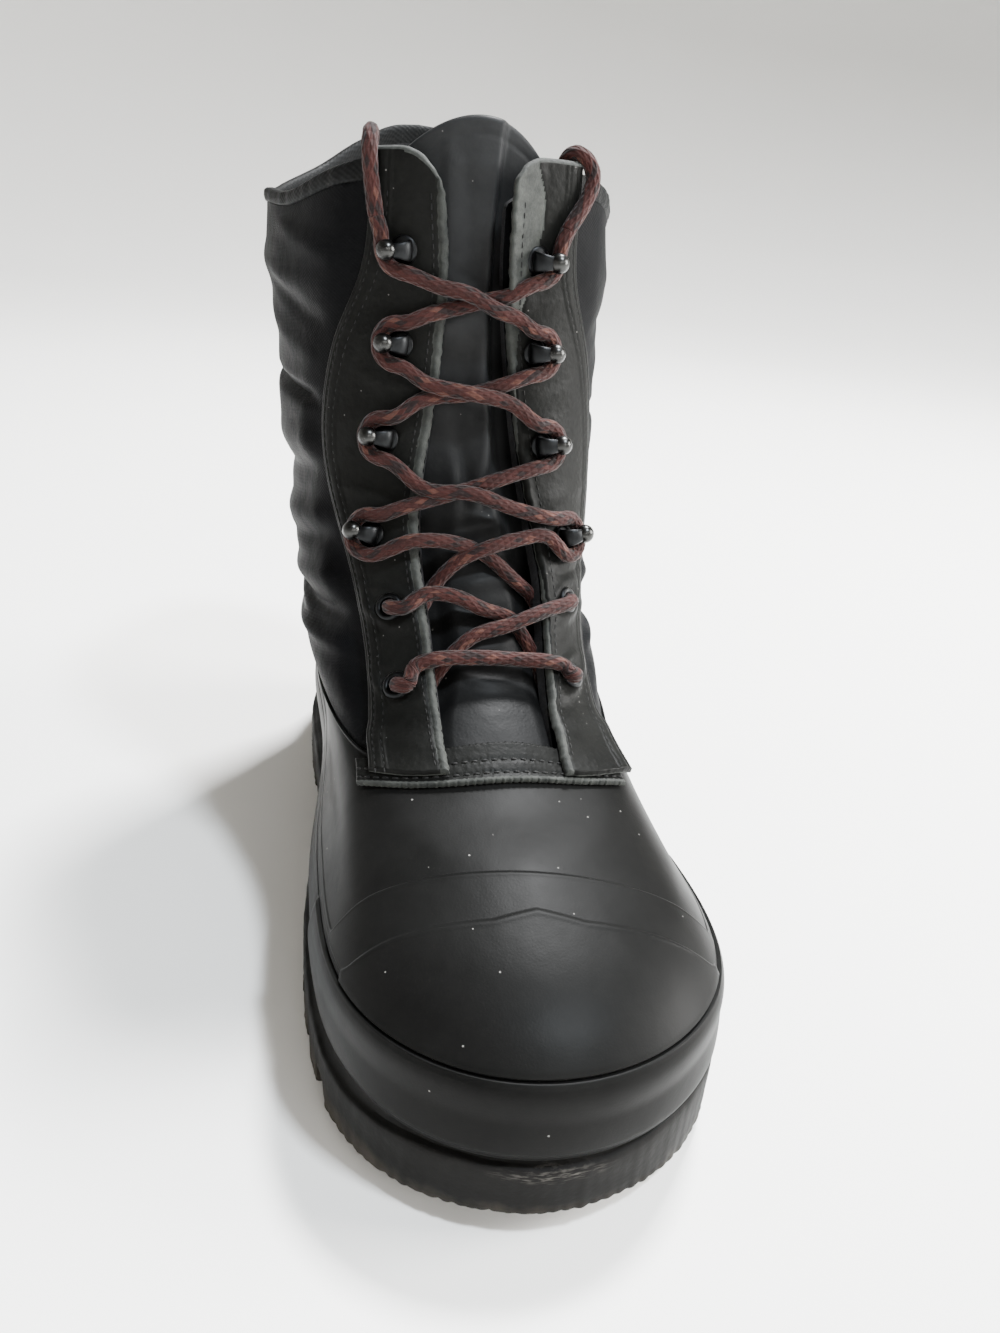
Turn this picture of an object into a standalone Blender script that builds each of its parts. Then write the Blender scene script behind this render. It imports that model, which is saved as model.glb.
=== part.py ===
"""Lace-up rubber rain boot (pac boot), the wearer's left one, modelled at its real size.

Frame: the toe points to -Y, the big-toe side is -X, +Z is up and the floor is z = 0.
The origin lies on the floor under the middle of the outsole.

Every piece of the upper follows one function, surface(level, turn, out).  level counts the
named rings of the last from the feather line (0) to the collar (9), turn goes round the foot
from the toe (0) to the back (pi), positive to the outer side, and out is the distance that a
point stands proud of the last in millimetres.
"""
import math

import bpy
import bmesh
import numpy as np
from mathutils import Matrix, Vector

MM = 0.001                      # the sizes below are in millimetres, the model is in metres

# Driving dimensions
BOOT_LENGTH = 316.0             # rubber shell, toe to heel
BALL_WIDTH = 116.0              # rubber shell across the ball
SHAFT_HEIGHT = 247.0            # floor to the top of the eyestays
RUBBER_WALL = 2.4
SHAFT_WALL = 3.0                # nylon, foam and lining
LEATHER = 1.8
TONGUE_THICKNESS = 2.6
INSOLE_THICKNESS = 4.5
SKIN_GAP = 0.3                  # between pieces that touch
FACING_GAP = 0.7                # between the facets of eyestay and shaft, which run differently
BARE_MARGIN = 8.0               # degrees beside an eyestay before the nylon swells
TOE_SPRING = 8.0
ARCH_RISE = 7.0
LUG_DEPTH = 5.5
LUG_GAP = 7.0
LACE_RADIUS = 2.1
BALL_RADIUS = 3.5

# Rings of the last for a boot 316 long, 116 wide and 247 tall at the eyestays.  Front and back
# points of each ring, its half widths at the corner of the toe, ball, waist and heel, the
# roundness of its two ends, the sideways shift of toe and waist, and the dip at its sides.
RING_COLUMNS = ("front_y", "front_z", "back_y", "back_z", "tip", "corner", "ball", "waist",
                "heel", "back", "toe_shift", "waist_shift", "side_dip")
RINGS = {
    "feather":    (-158,  26, 158,  30, 93, 44, 57, 43, 35, 66, -4,  3,  0),
    "bumper":     (-157,  37, 160,  37, 87, 43, 58, 46, 38, 70, -4,  3,  0),
    "seam":       (-155,  49, 157,  46, 92, 43, 55, 45, 38, 68, -4,  2,  1),
    "crest":      (-137,  61, 153,  62, 81, 38, 49, 43, 37, 66, -4,  1,  2),
    "vamp":       (-104,  72, 150,  82, 58, 30, 47, 43, 37, 62, -3,  0,  1),
    "rubber_top": (-69,   81, 148, 101, 51, 27, 48, 44, 36, 60, -3, -1,  0),
    "instep":     (-34,  106, 145, 121, 50, 27, 48, 47, 37, 58, -3, -2,  0),
    "ankle":      (-8,   144, 143, 150, 50, 30, 51, 52, 39, 56, -2, -2,  0),
    "shaft":      (4,    194, 142, 202, 54, 31, 53, 56, 41, 58, -1, -3,  4),
    "collar":     (5,    247, 146, 259, 58, 31, 53, 60, 44, 62, -1, -3, 21),
}
TOP_LEVEL = len(RINGS) - 1
STATIONS = (0.0, 0.07, 0.33, 0.60, 0.87, 1.0)   # tip, corner, ball, waist, heel, back
BUMPER_LEVEL, SEAM_LEVEL = 1, 2

# Lines on the upper: level or half angle in degrees against turn or level
RUBBER_EDGE = {0: 5.10, 30: 5.00, 50: 4.65, 80: 4.70, 120: 4.85, 180: 5.00}
THROAT_HALF = {5.0: 20.0, 5.9: 23.5, 6.8: 22.5, 7.4: 17.0, 7.8: 13.5, 8.3: 11.0, 9.0: 11.0}
THROAT_SHIFT = {5.0: 2.0, 6.3: 4.0, 7.4: -1.5, 9.0: -3.5}
EYESTAY_HALF = {4.4: 46.0, 5.5: 44.0, 6.5: 46.0, 7.5: 48.0, 7.9: 43.0, 8.4: 33.0, 9.0: 31.0}
TONGUE_HALF = {5.1: 24.0, 5.6: 31.0, 9.3: 31.0}
TONGUE_CROWN = {5.1: 0.2, 5.4: 2.4, 5.6: 5.4, 6.0: 7.6, 9.3: 8.0}
TONGUE_WING = {5.1: 3.7, 5.6: 6.6, 6.0: 8.0, 9.3: 8.4}
QUILT_LEVEL = 7.55
TONGUE_TOP_LEVEL = 9.27

# Fastenings, bottom to top: level, and degrees from the middle of the throat on either side
EYELETS = {"eyelet_1": (5.60, {"medial": 33.5, "lateral": 30.5}),
           "eyelet_2": (6.24, {"medial": 33.5, "lateral": 31.0})}
HOOKS = {"hook_1": (6.76, {"medial": 36.5, "lateral": 31.5}),
         "hook_2": (7.42, {"medial": 28.0, "lateral": 24.5}),
         "hook_3": (7.98, {"medial": 23.5, "lateral": 21.0}),
         "hook_4": (8.51, {"medial": 23.0, "lateral": 19.5})}
SIDES = {"medial": -1.0, "lateral": 1.0}

COLOURS = {                     # base colour, roughness, metallic
    "shell_rubber": ((0.030, 0.030, 0.031), 0.48, 0.0),
    "sole_rubber": ((0.022, 0.022, 0.023), 0.62, 0.0),
    "nylon": ((0.010, 0.010, 0.012), 0.50, 0.0),
    "leather": ((0.028, 0.028, 0.027), 0.42, 0.0),
    "tongue_leather": ((0.034, 0.035, 0.037), 0.38, 0.0),
    "lace_cord": ((0.150, 0.038, 0.028), 0.85, 0.0),
    "dark_metal": ((0.160, 0.165, 0.170), 0.28, 1.0),
    "footbed": ((0.045, 0.045, 0.047), 0.90, 0.0),
}


# ---------------------------------------------------------------- the last as a function

def smooth_table(knots, values, at):
    """Cubic curve through (knots, values) with averaged slopes, read at the given places."""
    knots, values, at = np.asarray(knots, float), np.asarray(values, float), np.asarray(at, float)
    column = (slice(None), None) if values.ndim == 2 else slice(None)
    step = np.diff(knots)
    secant = np.diff(values, axis=0) / step[column]
    slope = np.concatenate([secant[:1], np.zeros_like(secant[1:]), secant[-1:]])
    near, far = step[:-1][column], step[1:][column]
    slope[1:-1] = (secant[:-1] * far + secant[1:] * near) / (near + far)
    cell = np.clip(np.searchsorted(knots, at, side="right") - 1, 0, len(step) - 1)
    width = step[cell]
    part = (at - knots[cell]) / width
    if values.ndim == 2:
        part, width = part[..., None], width[..., None]
    return ((1 + 2 * part) * (1 - part) ** 2 * values[cell]
            + part * (1 - part) ** 2 * width * slope[cell]
            + part ** 2 * (3 - 2 * part) * values[cell + 1]
            + part ** 2 * (part - 1) * width * slope[cell + 1])


def read_line(line, at):
    """Straight lines through a small table {place: value}, read at the given places."""
    return np.interp(at, list(line), list(line.values()))


def scaled_rings():
    """The ring table stretched to the driving dimensions."""
    table = np.array(list(RINGS.values()), float)
    along, across, up = BOOT_LENGTH / 316.0, BALL_WIDTH / 116.0, SHAFT_HEIGHT / 247.0
    scale = {"front_y": along, "back_y": along, "front_z": up, "back_z": up, "side_dip": up}
    return table * [scale.get(name, across) for name in RING_COLUMNS]


RING_TABLE = scaled_rings()
LEVELS = np.arange(len(RINGS), dtype=float)
STATION_TURNS = np.arccos(1 - 2 * np.array(STATIONS))


def end_and_side_widths():
    """Width factor of each ring at the six stations: half width over the sine of the turn."""
    ends_and_sides = RING_TABLE[:, 4:10].copy()
    ends_and_sides[:, 1:5] /= np.sin(STATION_TURNS[1:5])
    return ends_and_sides


WIDTH_TABLE = end_and_side_widths()


def ring_point(level, turn):
    """A point of the last, in millimetres, at a level and a turn (both arrays)."""
    level, turn = np.broadcast_arrays(np.asarray(level, float), np.asarray(turn, float))
    ring = dict(zip(RING_COLUMNS, np.moveaxis(smooth_table(LEVELS, RING_TABLE, level), -1, 0)))
    widths = smooth_table(LEVELS, WIDTH_TABLE, level)
    wrapped = np.mod(turn, 2 * math.pi)
    side = np.where(wrapped <= math.pi, 1.0, -1.0)
    around = np.where(wrapped <= math.pi, wrapped, 2 * math.pi - wrapped)
    share = (1 - np.cos(around)) / 2

    gap = np.diff(STATION_TURNS)
    secant = np.diff(widths, axis=-1) / gap
    slope = np.zeros_like(widths)
    slope[..., 1:-1] = (secant[..., :-1] * gap[1:] + secant[..., 1:] * gap[:-1]) / (gap[1:] + gap[:-1])
    cell = np.clip(np.searchsorted(STATION_TURNS, around, side="right") - 1, 0, len(gap) - 1)
    part = (around - STATION_TURNS[cell]) / gap[cell]

    def pick(values, offset):
        return np.take_along_axis(values, (cell + offset)[..., None], -1)[..., 0]

    width = ((1 + 2 * part) * (1 - part) ** 2 * pick(widths, 0)
             + part * (1 - part) ** 2 * gap[cell] * pick(slope, 0)
             + part ** 2 * (3 - 2 * part) * pick(widths, 1)
             + part ** 2 * (part - 1) * gap[cell] * pick(slope, 1))
    centre = ring["toe_shift"] * (1 - share) ** 2 + ring["waist_shift"] * 4 * share * (1 - share)
    x = centre + side * width * np.sin(around)
    y = ring["front_y"] + (ring["back_y"] - ring["front_y"]) * share
    z = ring["front_z"] + (ring["back_z"] - ring["front_z"]) * share
    return np.stack([x, y, z - ring["side_dip"] * np.sin(around) ** 4], -1)


def bare_surface(level, turn):
    """The last, going straight on above its top ring."""
    level = np.asarray(level, float)
    inside = np.minimum(level, TOP_LEVEL)
    rise = (ring_point(TOP_LEVEL + 0 * inside, turn) - ring_point(TOP_LEVEL - 0.1 + 0 * inside, turn)) / 0.1
    return ring_point(inside, turn) + rise * (level - inside)[..., None]


def outward(level, turn):
    """Unit vectors that point out of the last."""
    low, high = np.maximum(level - 0.03, 0.0), level + 0.03
    along = bare_surface(high, turn) - bare_surface(low, turn)
    around = bare_surface(level, turn + 0.02) - bare_surface(level, turn - 0.02)
    normal = np.cross(around, along)
    return normal / np.linalg.norm(normal, axis=-1, keepdims=True)


def plan_ring(level, turns, out):
    """A ring of the last seen from above, moved outwards level with the floor."""
    ring = ring_point(level, turns)
    around = ring_point(level, turns + 0.01) - ring_point(level, turns - 0.01)
    away = np.stack([around[..., 1], -around[..., 0]], -1)
    ring[..., :2] += away / np.linalg.norm(away, axis=-1, keepdims=True) * np.asarray(out)[..., None]
    return ring


OUTLINE = plan_ring(BUMPER_LEVEL, np.linspace(0, 2 * math.pi, 721), 0.0)
CENTRE = np.array([(OUTLINE[:, 0].min() + OUTLINE[:, 0].max()) / 2,
                   (OUTLINE[:, 1].min() + OUTLINE[:, 1].max()) / 2, 0.0])


def surface(level, turn, out=0.0):
    """Points of the boot in metres, standing out millimetres proud of the last."""
    level, turn, out = np.broadcast_arrays(np.asarray(level, float), np.asarray(turn, float),
                                           np.asarray(out, float))
    points = bare_surface(level, turn) + outward(level, turn) * out[..., None]
    return (points - CENTRE) * MM


def degrees_off_throat(level, turn):
    """How far a turn lies from the middle of the throat, in degrees, positive outwards."""
    turn = np.degrees(np.mod(turn + math.pi, 2 * math.pi) - math.pi)
    return turn - read_line(THROAT_SHIFT, level)


def throat_turn(level, off_throat):
    """The turn that lies so many degrees from the middle of the throat."""
    return np.radians(off_throat + read_line(THROAT_SHIFT, level))


def rubber_edge(turn):
    """Level of the top edge of the rubber shell."""
    turn = np.degrees(np.abs(np.mod(turn + math.pi, 2 * math.pi) - math.pi))
    return smooth_table(list(RUBBER_EDGE), list(RUBBER_EDGE.values()), turn)


def strip_edge(turn):
    """Level of the lower edge of the leather strip: an arch across the vamp."""
    return 4.97 - 0.9 * (np.degrees(turn) / 50.0) ** 2


def ease(value):
    """0 below 0, 1 above 1 and a soft step between."""
    value = np.clip(value, 0.0, 1.0)
    return value * value * (3 - 2 * value)


# ---------------------------------------------------------------- meshes

def material(name):
    """A Principled material of the table of colours."""
    found = bpy.data.materials.get(name)
    if found:
        return found
    colour, roughness, metallic = COLOURS[name]
    made = bpy.data.materials.new(name)
    made.use_nodes = True
    shader = made.node_tree.nodes["Principled BSDF"]
    shader.inputs["Base Color"].default_value = (*colour, 1.0)
    shader.inputs["Roughness"].default_value = roughness
    shader.inputs["Metallic"].default_value = metallic
    return made


def add_object(name, mesh, material_name, smooth_angle=40.0):
    """Link a mesh as a named piece, shaded smooth up to an angle."""
    piece = bpy.data.objects.new(name, mesh)
    bpy.context.scene.collection.objects.link(piece)
    if not mesh.materials:
        mesh.materials.append(material(material_name))
    mesh.shade_smooth()
    mesh.set_sharp_from_angle(angle=math.radians(smooth_angle))
    return piece


def mesh_of(name, points, faces):
    """A mesh of a list of points and a list of faces."""
    mesh = bpy.data.meshes.new(name)
    mesh.from_pydata([tuple(point) for point in points], [], faces)
    mesh.validate()
    mesh.update()
    return mesh


def wall_between(name, outer, inner, closed):
    """A closed wall between an outer and an inner grid of points (rows up, columns round)."""
    rows, columns = outer.shape[:2]
    inner_rows = inner.shape[0]
    start = rows * columns
    faces = []
    for j in range(columns if closed else columns - 1):
        k = (j + 1) % columns
        for i in range(rows - 1):
            faces.append((i * columns + j, i * columns + k, (i + 1) * columns + k, (i + 1) * columns + j))
        for i in range(inner_rows - 1):
            low, high = start + i * columns, start + (i + 1) * columns
            faces.append((low + j, high + j, high + k, low + k))
        faces.append((j, start + j, start + k, k))
        top, inner_top = (rows - 1) * columns, start + (inner_rows - 1) * columns
        faces.append((top + j, top + k, inner_top + k, inner_top + j))
    if not closed:
        last = columns - 1
        for i in range(rows - 1):
            low, high = i * columns, (i + 1) * columns
            faces.append((low, high, start + high, start + low))
            faces.append((low + last, start + low + last, start + high + last, high + last))
    points = np.concatenate([outer.reshape(-1, 3), inner.reshape(-1, 3)])
    return mesh_of(name, points, faces)


def capped_stack(name, rings):
    """A solid of stacked rings whose column k and column -k lie across from each other."""
    rows, columns = rings.shape[:2]
    half = columns // 2
    faces = []
    for i in range(rows - 1):
        for j in range(columns):
            k = (j + 1) % columns
            faces.append((i * columns + j, i * columns + k, (i + 1) * columns + k, (i + 1) * columns + j))
    top = (rows - 1) * columns
    for j in range(half):
        right, right_next = j, j + 1
        left, left_next = (-j) % columns, (-j - 1) % columns
        corners = [left, left_next, right_next, right]
        across = [corner for at, corner in enumerate(corners) if corner not in corners[:at]]
        faces.append(tuple(across))
        faces.append(tuple(top + corner for corner in reversed(across)))
    return mesh_of(name, rings.reshape(-1, 3), faces)


def cutter(name, mesh):
    """A hidden helper for a Boolean."""
    helper = bpy.data.objects.new(name, mesh)
    bpy.context.scene.collection.objects.link(helper)
    helper.hide_render = True
    helper.display_type = "WIRE"
    return helper


def boolean(piece, helper, operation):
    """Cut a helper from a piece or join it to the piece, with Blender's exact solver."""
    modifier = piece.modifiers.new(helper.name, "BOOLEAN")
    modifier.operation = operation
    modifier.solver = "EXACT"
    modifier.object = helper


def smooth_path(points, count):
    """Points spread evenly along a smooth curve through the route's own points."""
    points = np.array(points, float)
    knots = np.concatenate([[0.0], np.cumsum(np.linalg.norm(np.diff(points, axis=0), axis=1))])
    fine = smooth_table(knots, points, np.linspace(0, knots[-1], 40 * len(points)))
    length = np.concatenate([[0.0], np.cumsum(np.linalg.norm(np.diff(fine, axis=0), axis=1))])
    even = np.linspace(0, length[-1], count)
    return np.stack([np.interp(even, length, fine[:, axis]) for axis in range(3)], -1)


def tube(name, path, radius, material_name, as_helper=False):
    """A round cord along a path, with filled ends."""
    curve = bpy.data.curves.new(name, "CURVE")
    curve.dimensions = "3D"
    spline = curve.splines.new("POLY")
    spline.points.add(len(path) - 1)
    for point, place in zip(spline.points, path):
        point.co = (*place, 1.0)
    curve.bevel_depth = radius * MM
    curve.bevel_resolution = 2
    curve.use_fill_caps = True
    if not as_helper:
        curve.materials.append(material(material_name))
    piece = bpy.data.objects.new(name, curve)
    bpy.context.scene.collection.objects.link(piece)
    return piece


def tube_mesh(name, path, radius):
    """The same cord as a mesh, for joining with others."""
    piece = tube(name, path, radius, None, as_helper=True)
    mesh = bpy.data.meshes.new_from_object(piece.evaluated_get(bpy.context.evaluated_depsgraph_get()))
    mesh.name = name
    bpy.data.objects.remove(piece)
    work = bmesh.new()
    work.from_mesh(mesh)
    bmesh.ops.remove_doubles(work, verts=work.verts, dist=0.00001)
    bmesh.ops.recalc_face_normals(work, faces=work.faces)
    work.to_mesh(mesh)
    work.free()
    return mesh


# ---------------------------------------------------------------- rubber

ARCH_START = 12.0               # the forefoot tread is flat up to here
HEEL_BREAST = 66.0
SOLE_PROFILE = (                # height, what it is counted from, ring level of the outline, stand-out
    (0.0, "tread", 1.0, 1.2),
    (1.6, "tread", 1.0, 2.0),
    (-7.8, "feather", 1.0, 1.5),
    (-5.8, "feather", 1.0, 0.8),
    (-5.0, "feather", 0.0, -1.6),
    (0.0, "feather", 0.0, -1.6),
)
FOREFOOT_GROOVES = (-118.0, -98.0, -78.0, -58.0, -38.0, -18.0)
HEEL_GROOVES = (86.0, 108.0, 130.0)
GROOVE_SLANT = math.radians(14.0)
SPINE_HALF = 9.0


def bottom_height(y):
    """Height of the tread over the floor: toe spring, forefoot, arch and heel block."""
    spring = TOE_SPRING * (np.clip(-60.0 - y, 0.0, None) / 98.0) ** 2
    arch = ARCH_RISE * ease((y - ARCH_START) / 26.0) * ease((HEEL_BREAST + 4.0 - y) / 4.0)
    return spring + arch


def sole_turns():
    """Turns of the outsole's columns, with some at the ends of the arch, mirrored to both sides."""
    front, back = RING_TABLE[BUMPER_LEVEL, 0], RING_TABLE[BUMPER_LEVEL, 2]
    ends = [math.acos(1 - 2 * (y - front) / (back - front))
            for y in (ARCH_START, HEEL_BREAST, HEEL_BREAST + 4)]
    even = np.linspace(0, math.pi, 30)
    apart = [turn for turn in even if min(abs(turn - end) for end in ends) > 0.04]
    half = np.sort(np.concatenate([apart, ends]))
    return np.concatenate([half, 2 * math.pi - half[-2:0:-1]])


def make_outsole():
    """Outsole: outline of the shell, stepped side, toe spring, arch, heel block and lugs."""
    turns = sole_turns()
    base = ring_point(BUMPER_LEVEL, turns)
    low = bottom_height(base[:, 1])
    high = ring_point(0.0, turns)[:, 2] - SKIN_GAP
    rings = []
    for height, counted_from, level, out in SOLE_PROFILE:
        ring = plan_ring(level, turns, out + 0 * turns)
        ring[:, 2] = (low if counted_from == "tread" else high) + height
        rings.append((ring - CENTRE) * MM)
    mesh = capped_stack("outsole", np.array(rings))
    piece = add_object("outsole", mesh, "sole_rubber", 30.0)
    boolean(piece, cutter("tread_grooves", groove_mesh()), "DIFFERENCE")


def groove_mesh():
    """Boxes that cut the side grooves between the lugs, slanted towards the toe."""
    work = bmesh.new()
    for y in FOREFOOT_GROOVES + HEEL_GROOVES:
        top = float(bottom_height(np.array(y))) + LUG_DEPTH
        for side in SIDES.values():
            length = BALL_WIDTH * 0.7
            place = Matrix.Translation(Vector((-CENTRE[0], y - CENTRE[1], 0)) * MM)
            turned = place @ Matrix.Rotation(side * GROOVE_SLANT, 4, "Z")
            middle = Vector((side * (SPINE_HALF + length / 2), 0, top / 2 - 5.0)) * MM
            size = Matrix.Diagonal(Vector((length, LUG_GAP, top + 10.0, 1000.0)) * MM)
            bmesh.ops.create_cube(work, size=1.0, matrix=turned @ Matrix.Translation(middle) @ size)
    mesh = bpy.data.meshes.new("tread_grooves")
    work.to_mesh(mesh)
    work.free()
    return mesh


def line_level(turns, line_y, shift_per_x, peak):
    """Level at which each turn meets a line across the toe, y = line_y + shift * x + peak.
    It levels out softly just over the bumper seam."""
    levels = np.linspace(SEAM_LEVEL - 1.0, 4.6, 65)
    grid = ring_point(levels[:, None], turns[None, :])
    x, y = grid[..., 0], grid[..., 1]
    tent = peak * np.clip(1 - np.abs(x + 5.0) / 12.0, 0, None)
    past = y - (line_y + shift_per_x * x + tent)
    found = np.array([np.interp(0.0, past[:, at], levels) for at in range(len(turns))])
    over_seam = found - SEAM_LEVEL - 0.12
    return SEAM_LEVEL + 0.12 + (over_seam + np.hypot(over_seam, 0.25)) / 2


def make_rubber_shell():
    """Hollow galosh: bulging bumper, groove over it, two steps of the toe cap, thin top edge."""
    even = np.linspace(0, 2 * math.pi, 60, endpoint=False)
    turns = even - 0.3 * np.sin(even)       # columns crowd towards the toe
    edge = rubber_edge(turns)
    front = line_level(turns, -119.0, -0.13, 3.0)
    rear = np.maximum(line_level(turns, -104.0, -0.15, 0.0), front + 0.10)
    front_step = 1.2 * ease((front - SEAM_LEVEL - 0.2) / 0.4)
    rear_step = 0.6 * ease((rear - SEAM_LEVEL - 0.35) / 0.4)
    flat = np.zeros(len(turns))
    rows = [(flat, 0.0), (flat + 0.3, 0.5), (flat + 1.0, 0.8), (flat + 1.65, 0.7),
            (flat + 1.92, 0.3), (flat + 1.97, -0.9), (flat + 2.06, front_step + 0.2),
            ((front + 2.06) / 2, front_step + 0.1), (front, front_step), (front + 0.05, rear_step),
            (rear, rear_step), (rear + 0.05, 0.0)]
    rows += [(rear + 0.05 + (edge - rear - 0.05) * share, 0.0) for share in (0.2, 0.4, 0.6, 0.8, 1.0)]
    outer = np.array([surface(level, turns, out) for level, out in rows])
    inner = np.array([surface(edge * share, turns, -RUBBER_WALL)
                      for share in (0.0, 0.2, 0.4, 0.6, 0.8, 1.0)])
    inner[0, :, 2] = outer[0, :, 2]
    add_object("rubber_shell", wall_between("rubber_shell", outer, inner, True), "shell_rubber", 35.0)


def make_insole():
    """Footbed on the outsole, inside the shell."""
    half = np.linspace(0, math.pi, 19)
    turns = np.concatenate([half, 2 * math.pi - half[-2:0:-1]])
    rings = []
    for height, out in ((0.0, -4.0), (INSOLE_THICKNESS * 0.7, -3.7), (INSOLE_THICKNESS, -4.8)):
        ring = plan_ring(0.0, turns, out + 0 * turns)
        ring[:, 2] += height
        rings.append((ring - CENTRE) * MM)
    add_object("insole", capped_stack("insole", np.array(rings)), "footbed", 50.0)


# ---------------------------------------------------------------- shaft, leather and tongue

def shaft_puff(level, turn):
    """Padding of the nylon between its seams, fading out under the eyestays."""
    rolls = 1.0 + 0.7 * np.sin((level - 5.0) * 2 * math.pi / 1.05)
    seam = np.exp(-((level - QUILT_LEVEL) / 0.05) ** 2)
    past = np.abs(degrees_off_throat(level, turn)) - read_line(EYESTAY_HALF, level)
    bare = ease((past - BARE_MARGIN) / 10.0)
    return (rolls * (1 - seam) - 1.2 * seam) * bare


def make_nylon_shaft():
    """Hollow shaft, open at the collar and down the throat, with a quilt seam and a binding."""
    share = np.linspace(0, 1, 33)
    levels = [5.0, 5.35, 5.9, 6.5, 7.1, QUILT_LEVEL - 0.07, QUILT_LEVEL, QUILT_LEVEL + 0.07, 8.1, 8.70]
    binding = [(8.74, -0.3), (8.79, 0.9), (8.93, 1.0), (9.0, 0.2)]
    outer, inner = [], []
    for row, level in enumerate(levels + [level for level, _ in binding]):
        half = float(read_line(THROAT_HALF, level))
        first = throat_turn(level, half)
        turns = first + (2 * math.pi - math.radians(2 * half)) * share
        if row == 0:
            row_level = rubber_edge(turns) + 0.04
        else:
            row_level = np.maximum(level + 0 * turns, rubber_edge(turns) + 0.04 + 0.05 * row)
        is_binding = row >= len(levels)
        if is_binding:
            past = np.abs(degrees_off_throat(level, turns)) - read_line(EYESTAY_HALF, level)
            bare = ease((past - BARE_MARGIN) / 6.0)
            out = binding[row - len(levels)][1] * bare
        else:
            out = shaft_puff(row_level, turns) if row else 0 * turns
        outer.append(surface(row_level, turns, out))
        depth = SHAFT_WALL - (0.6 if level == TOP_LEVEL else 0.0)
        inner.append(surface(row_level, turns, -depth))
    piece = add_object("nylon_shaft", wall_between("nylon_shaft", np.array(outer), np.array(inner),
                                                   False), "nylon", 30.0)
    boolean(piece, bpy.data.objects["eyelet_holes"], "DIFFERENCE")


def leather_lift(level, turn):
    """How far the leather of the eyestays stands off the last: over strip and rubber, then down."""
    over_rubber = 1 - ease((level - rubber_edge(turn) - 0.05) / 0.35)
    return FACING_GAP + (LEATHER + SKIN_GAP) * over_rubber


def make_eyestay(side):
    """Leather facing beside the throat, with a rounded upper corner and two eyelet holes."""
    across = np.array([0.0, 0.06, 0.15, 0.3, 0.5, 0.75, 1.0])
    up = np.linspace(0, 1, 17)
    corner = np.clip(1 - across / 0.35, 0, 1)
    top = TOP_LEVEL - 0.02 - 0.22 * (1 - np.sqrt(1 - corner ** 2))
    bottom_turn = throat_turn(5.0, SIDES[side] * (21.0 + 24.0 * across))
    bottom = strip_edge(bottom_turn) + 0.10
    level = bottom + (top - bottom) * up[:, None]
    inner_edge = read_line(THROAT_HALF, level)
    outer_edge = read_line(EYESTAY_HALF, level)
    off_throat = inner_edge + (outer_edge - inner_edge) * across
    turns = throat_turn(level, SIDES[side] * off_throat)
    lift = leather_lift(level, turns)
    outer, inner = surface(level, turns, lift + LEATHER), surface(level, turns, lift)
    if SIDES[side] < 0:
        outer, inner = outer[:, ::-1], inner[:, ::-1]
    name = "eyestay_" + side
    piece = add_object(name, wall_between(name, outer, inner, False), "leather", 40.0)
    boolean(piece, bpy.data.objects["eyelet_holes"], "DIFFERENCE")


def make_throat_strip():
    """Leather strip across the vamp, under the feet of the eyestays."""
    turns = np.radians(np.linspace(-50.0, 44.0, 17))
    low = strip_edge(turns)
    rows = [low, low + 0.10, low + 0.22]
    outer = np.array([surface(level, turns, FACING_GAP + LEATHER - 0.2) for level in rows])
    inner = np.array([surface(level, turns, FACING_GAP) for level in rows])
    add_object("throat_strip", wall_between("throat_strip", outer, inner, False), "leather", 40.0)


def tongue_out(level, off_throat):
    """Height of the tongue's face over the last: it crowns between the eyestays and its wings
    lie deep enough for the lace to pass under the leather."""
    crown, wing = read_line(TONGUE_CROWN, level), read_line(TONGUE_WING, level)
    beside = ease((np.abs(off_throat) / read_line(THROAT_HALF, level) - 0.6) / 0.35)
    return -(crown + (wing - crown) * beside)


def make_tongue():
    """Leather tongue behind the throat, with an arched top above the collar."""
    across = np.linspace(-1, 1, 11)
    up = np.linspace(0, 1, 14)
    top = TONGUE_TOP_LEVEL - 0.34 * across ** 2
    bottom = rubber_edge(throat_turn(5.0, TONGUE_HALF[5.1] * across)) + 0.02
    level = bottom + (top - bottom) * up[:, None]
    off_throat = read_line(TONGUE_HALF, level) * across
    turns = throat_turn(level, off_throat)
    face = tongue_out(level, off_throat)
    outer, inner = surface(level, turns, face), surface(level, turns, face - TONGUE_THICKNESS)
    add_object("tongue", wall_between("tongue", outer, inner, False), "tongue_leather", 40.0)


# ---------------------------------------------------------------- fastenings

LEATHER_FACE = FACING_GAP + LEATHER      # face of the eyestay over the last
FLANGE = 1.0
EYELET_RADII = {"hole": 2.6, "barrel": 3.1, "flange": 4.6, "cut": 3.5}


def seat(level, off_throat, out):
    """Frame on the surface: X away from the throat, Z outwards."""
    turn = throat_turn(level, off_throat)
    point = surface(level, turn, out)
    away = surface(level, turn + math.copysign(0.02, off_throat), out) - point
    normal = Vector(outward(np.array(level), np.array(turn)))
    x_axis = Vector(away).normalized()
    y_axis = normal.cross(x_axis).normalized()
    x_axis = y_axis.cross(normal).normalized()
    frame = Matrix((x_axis, y_axis, normal)).transposed().to_4x4()
    return Matrix.Translation(Vector(point)) @ frame


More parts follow.
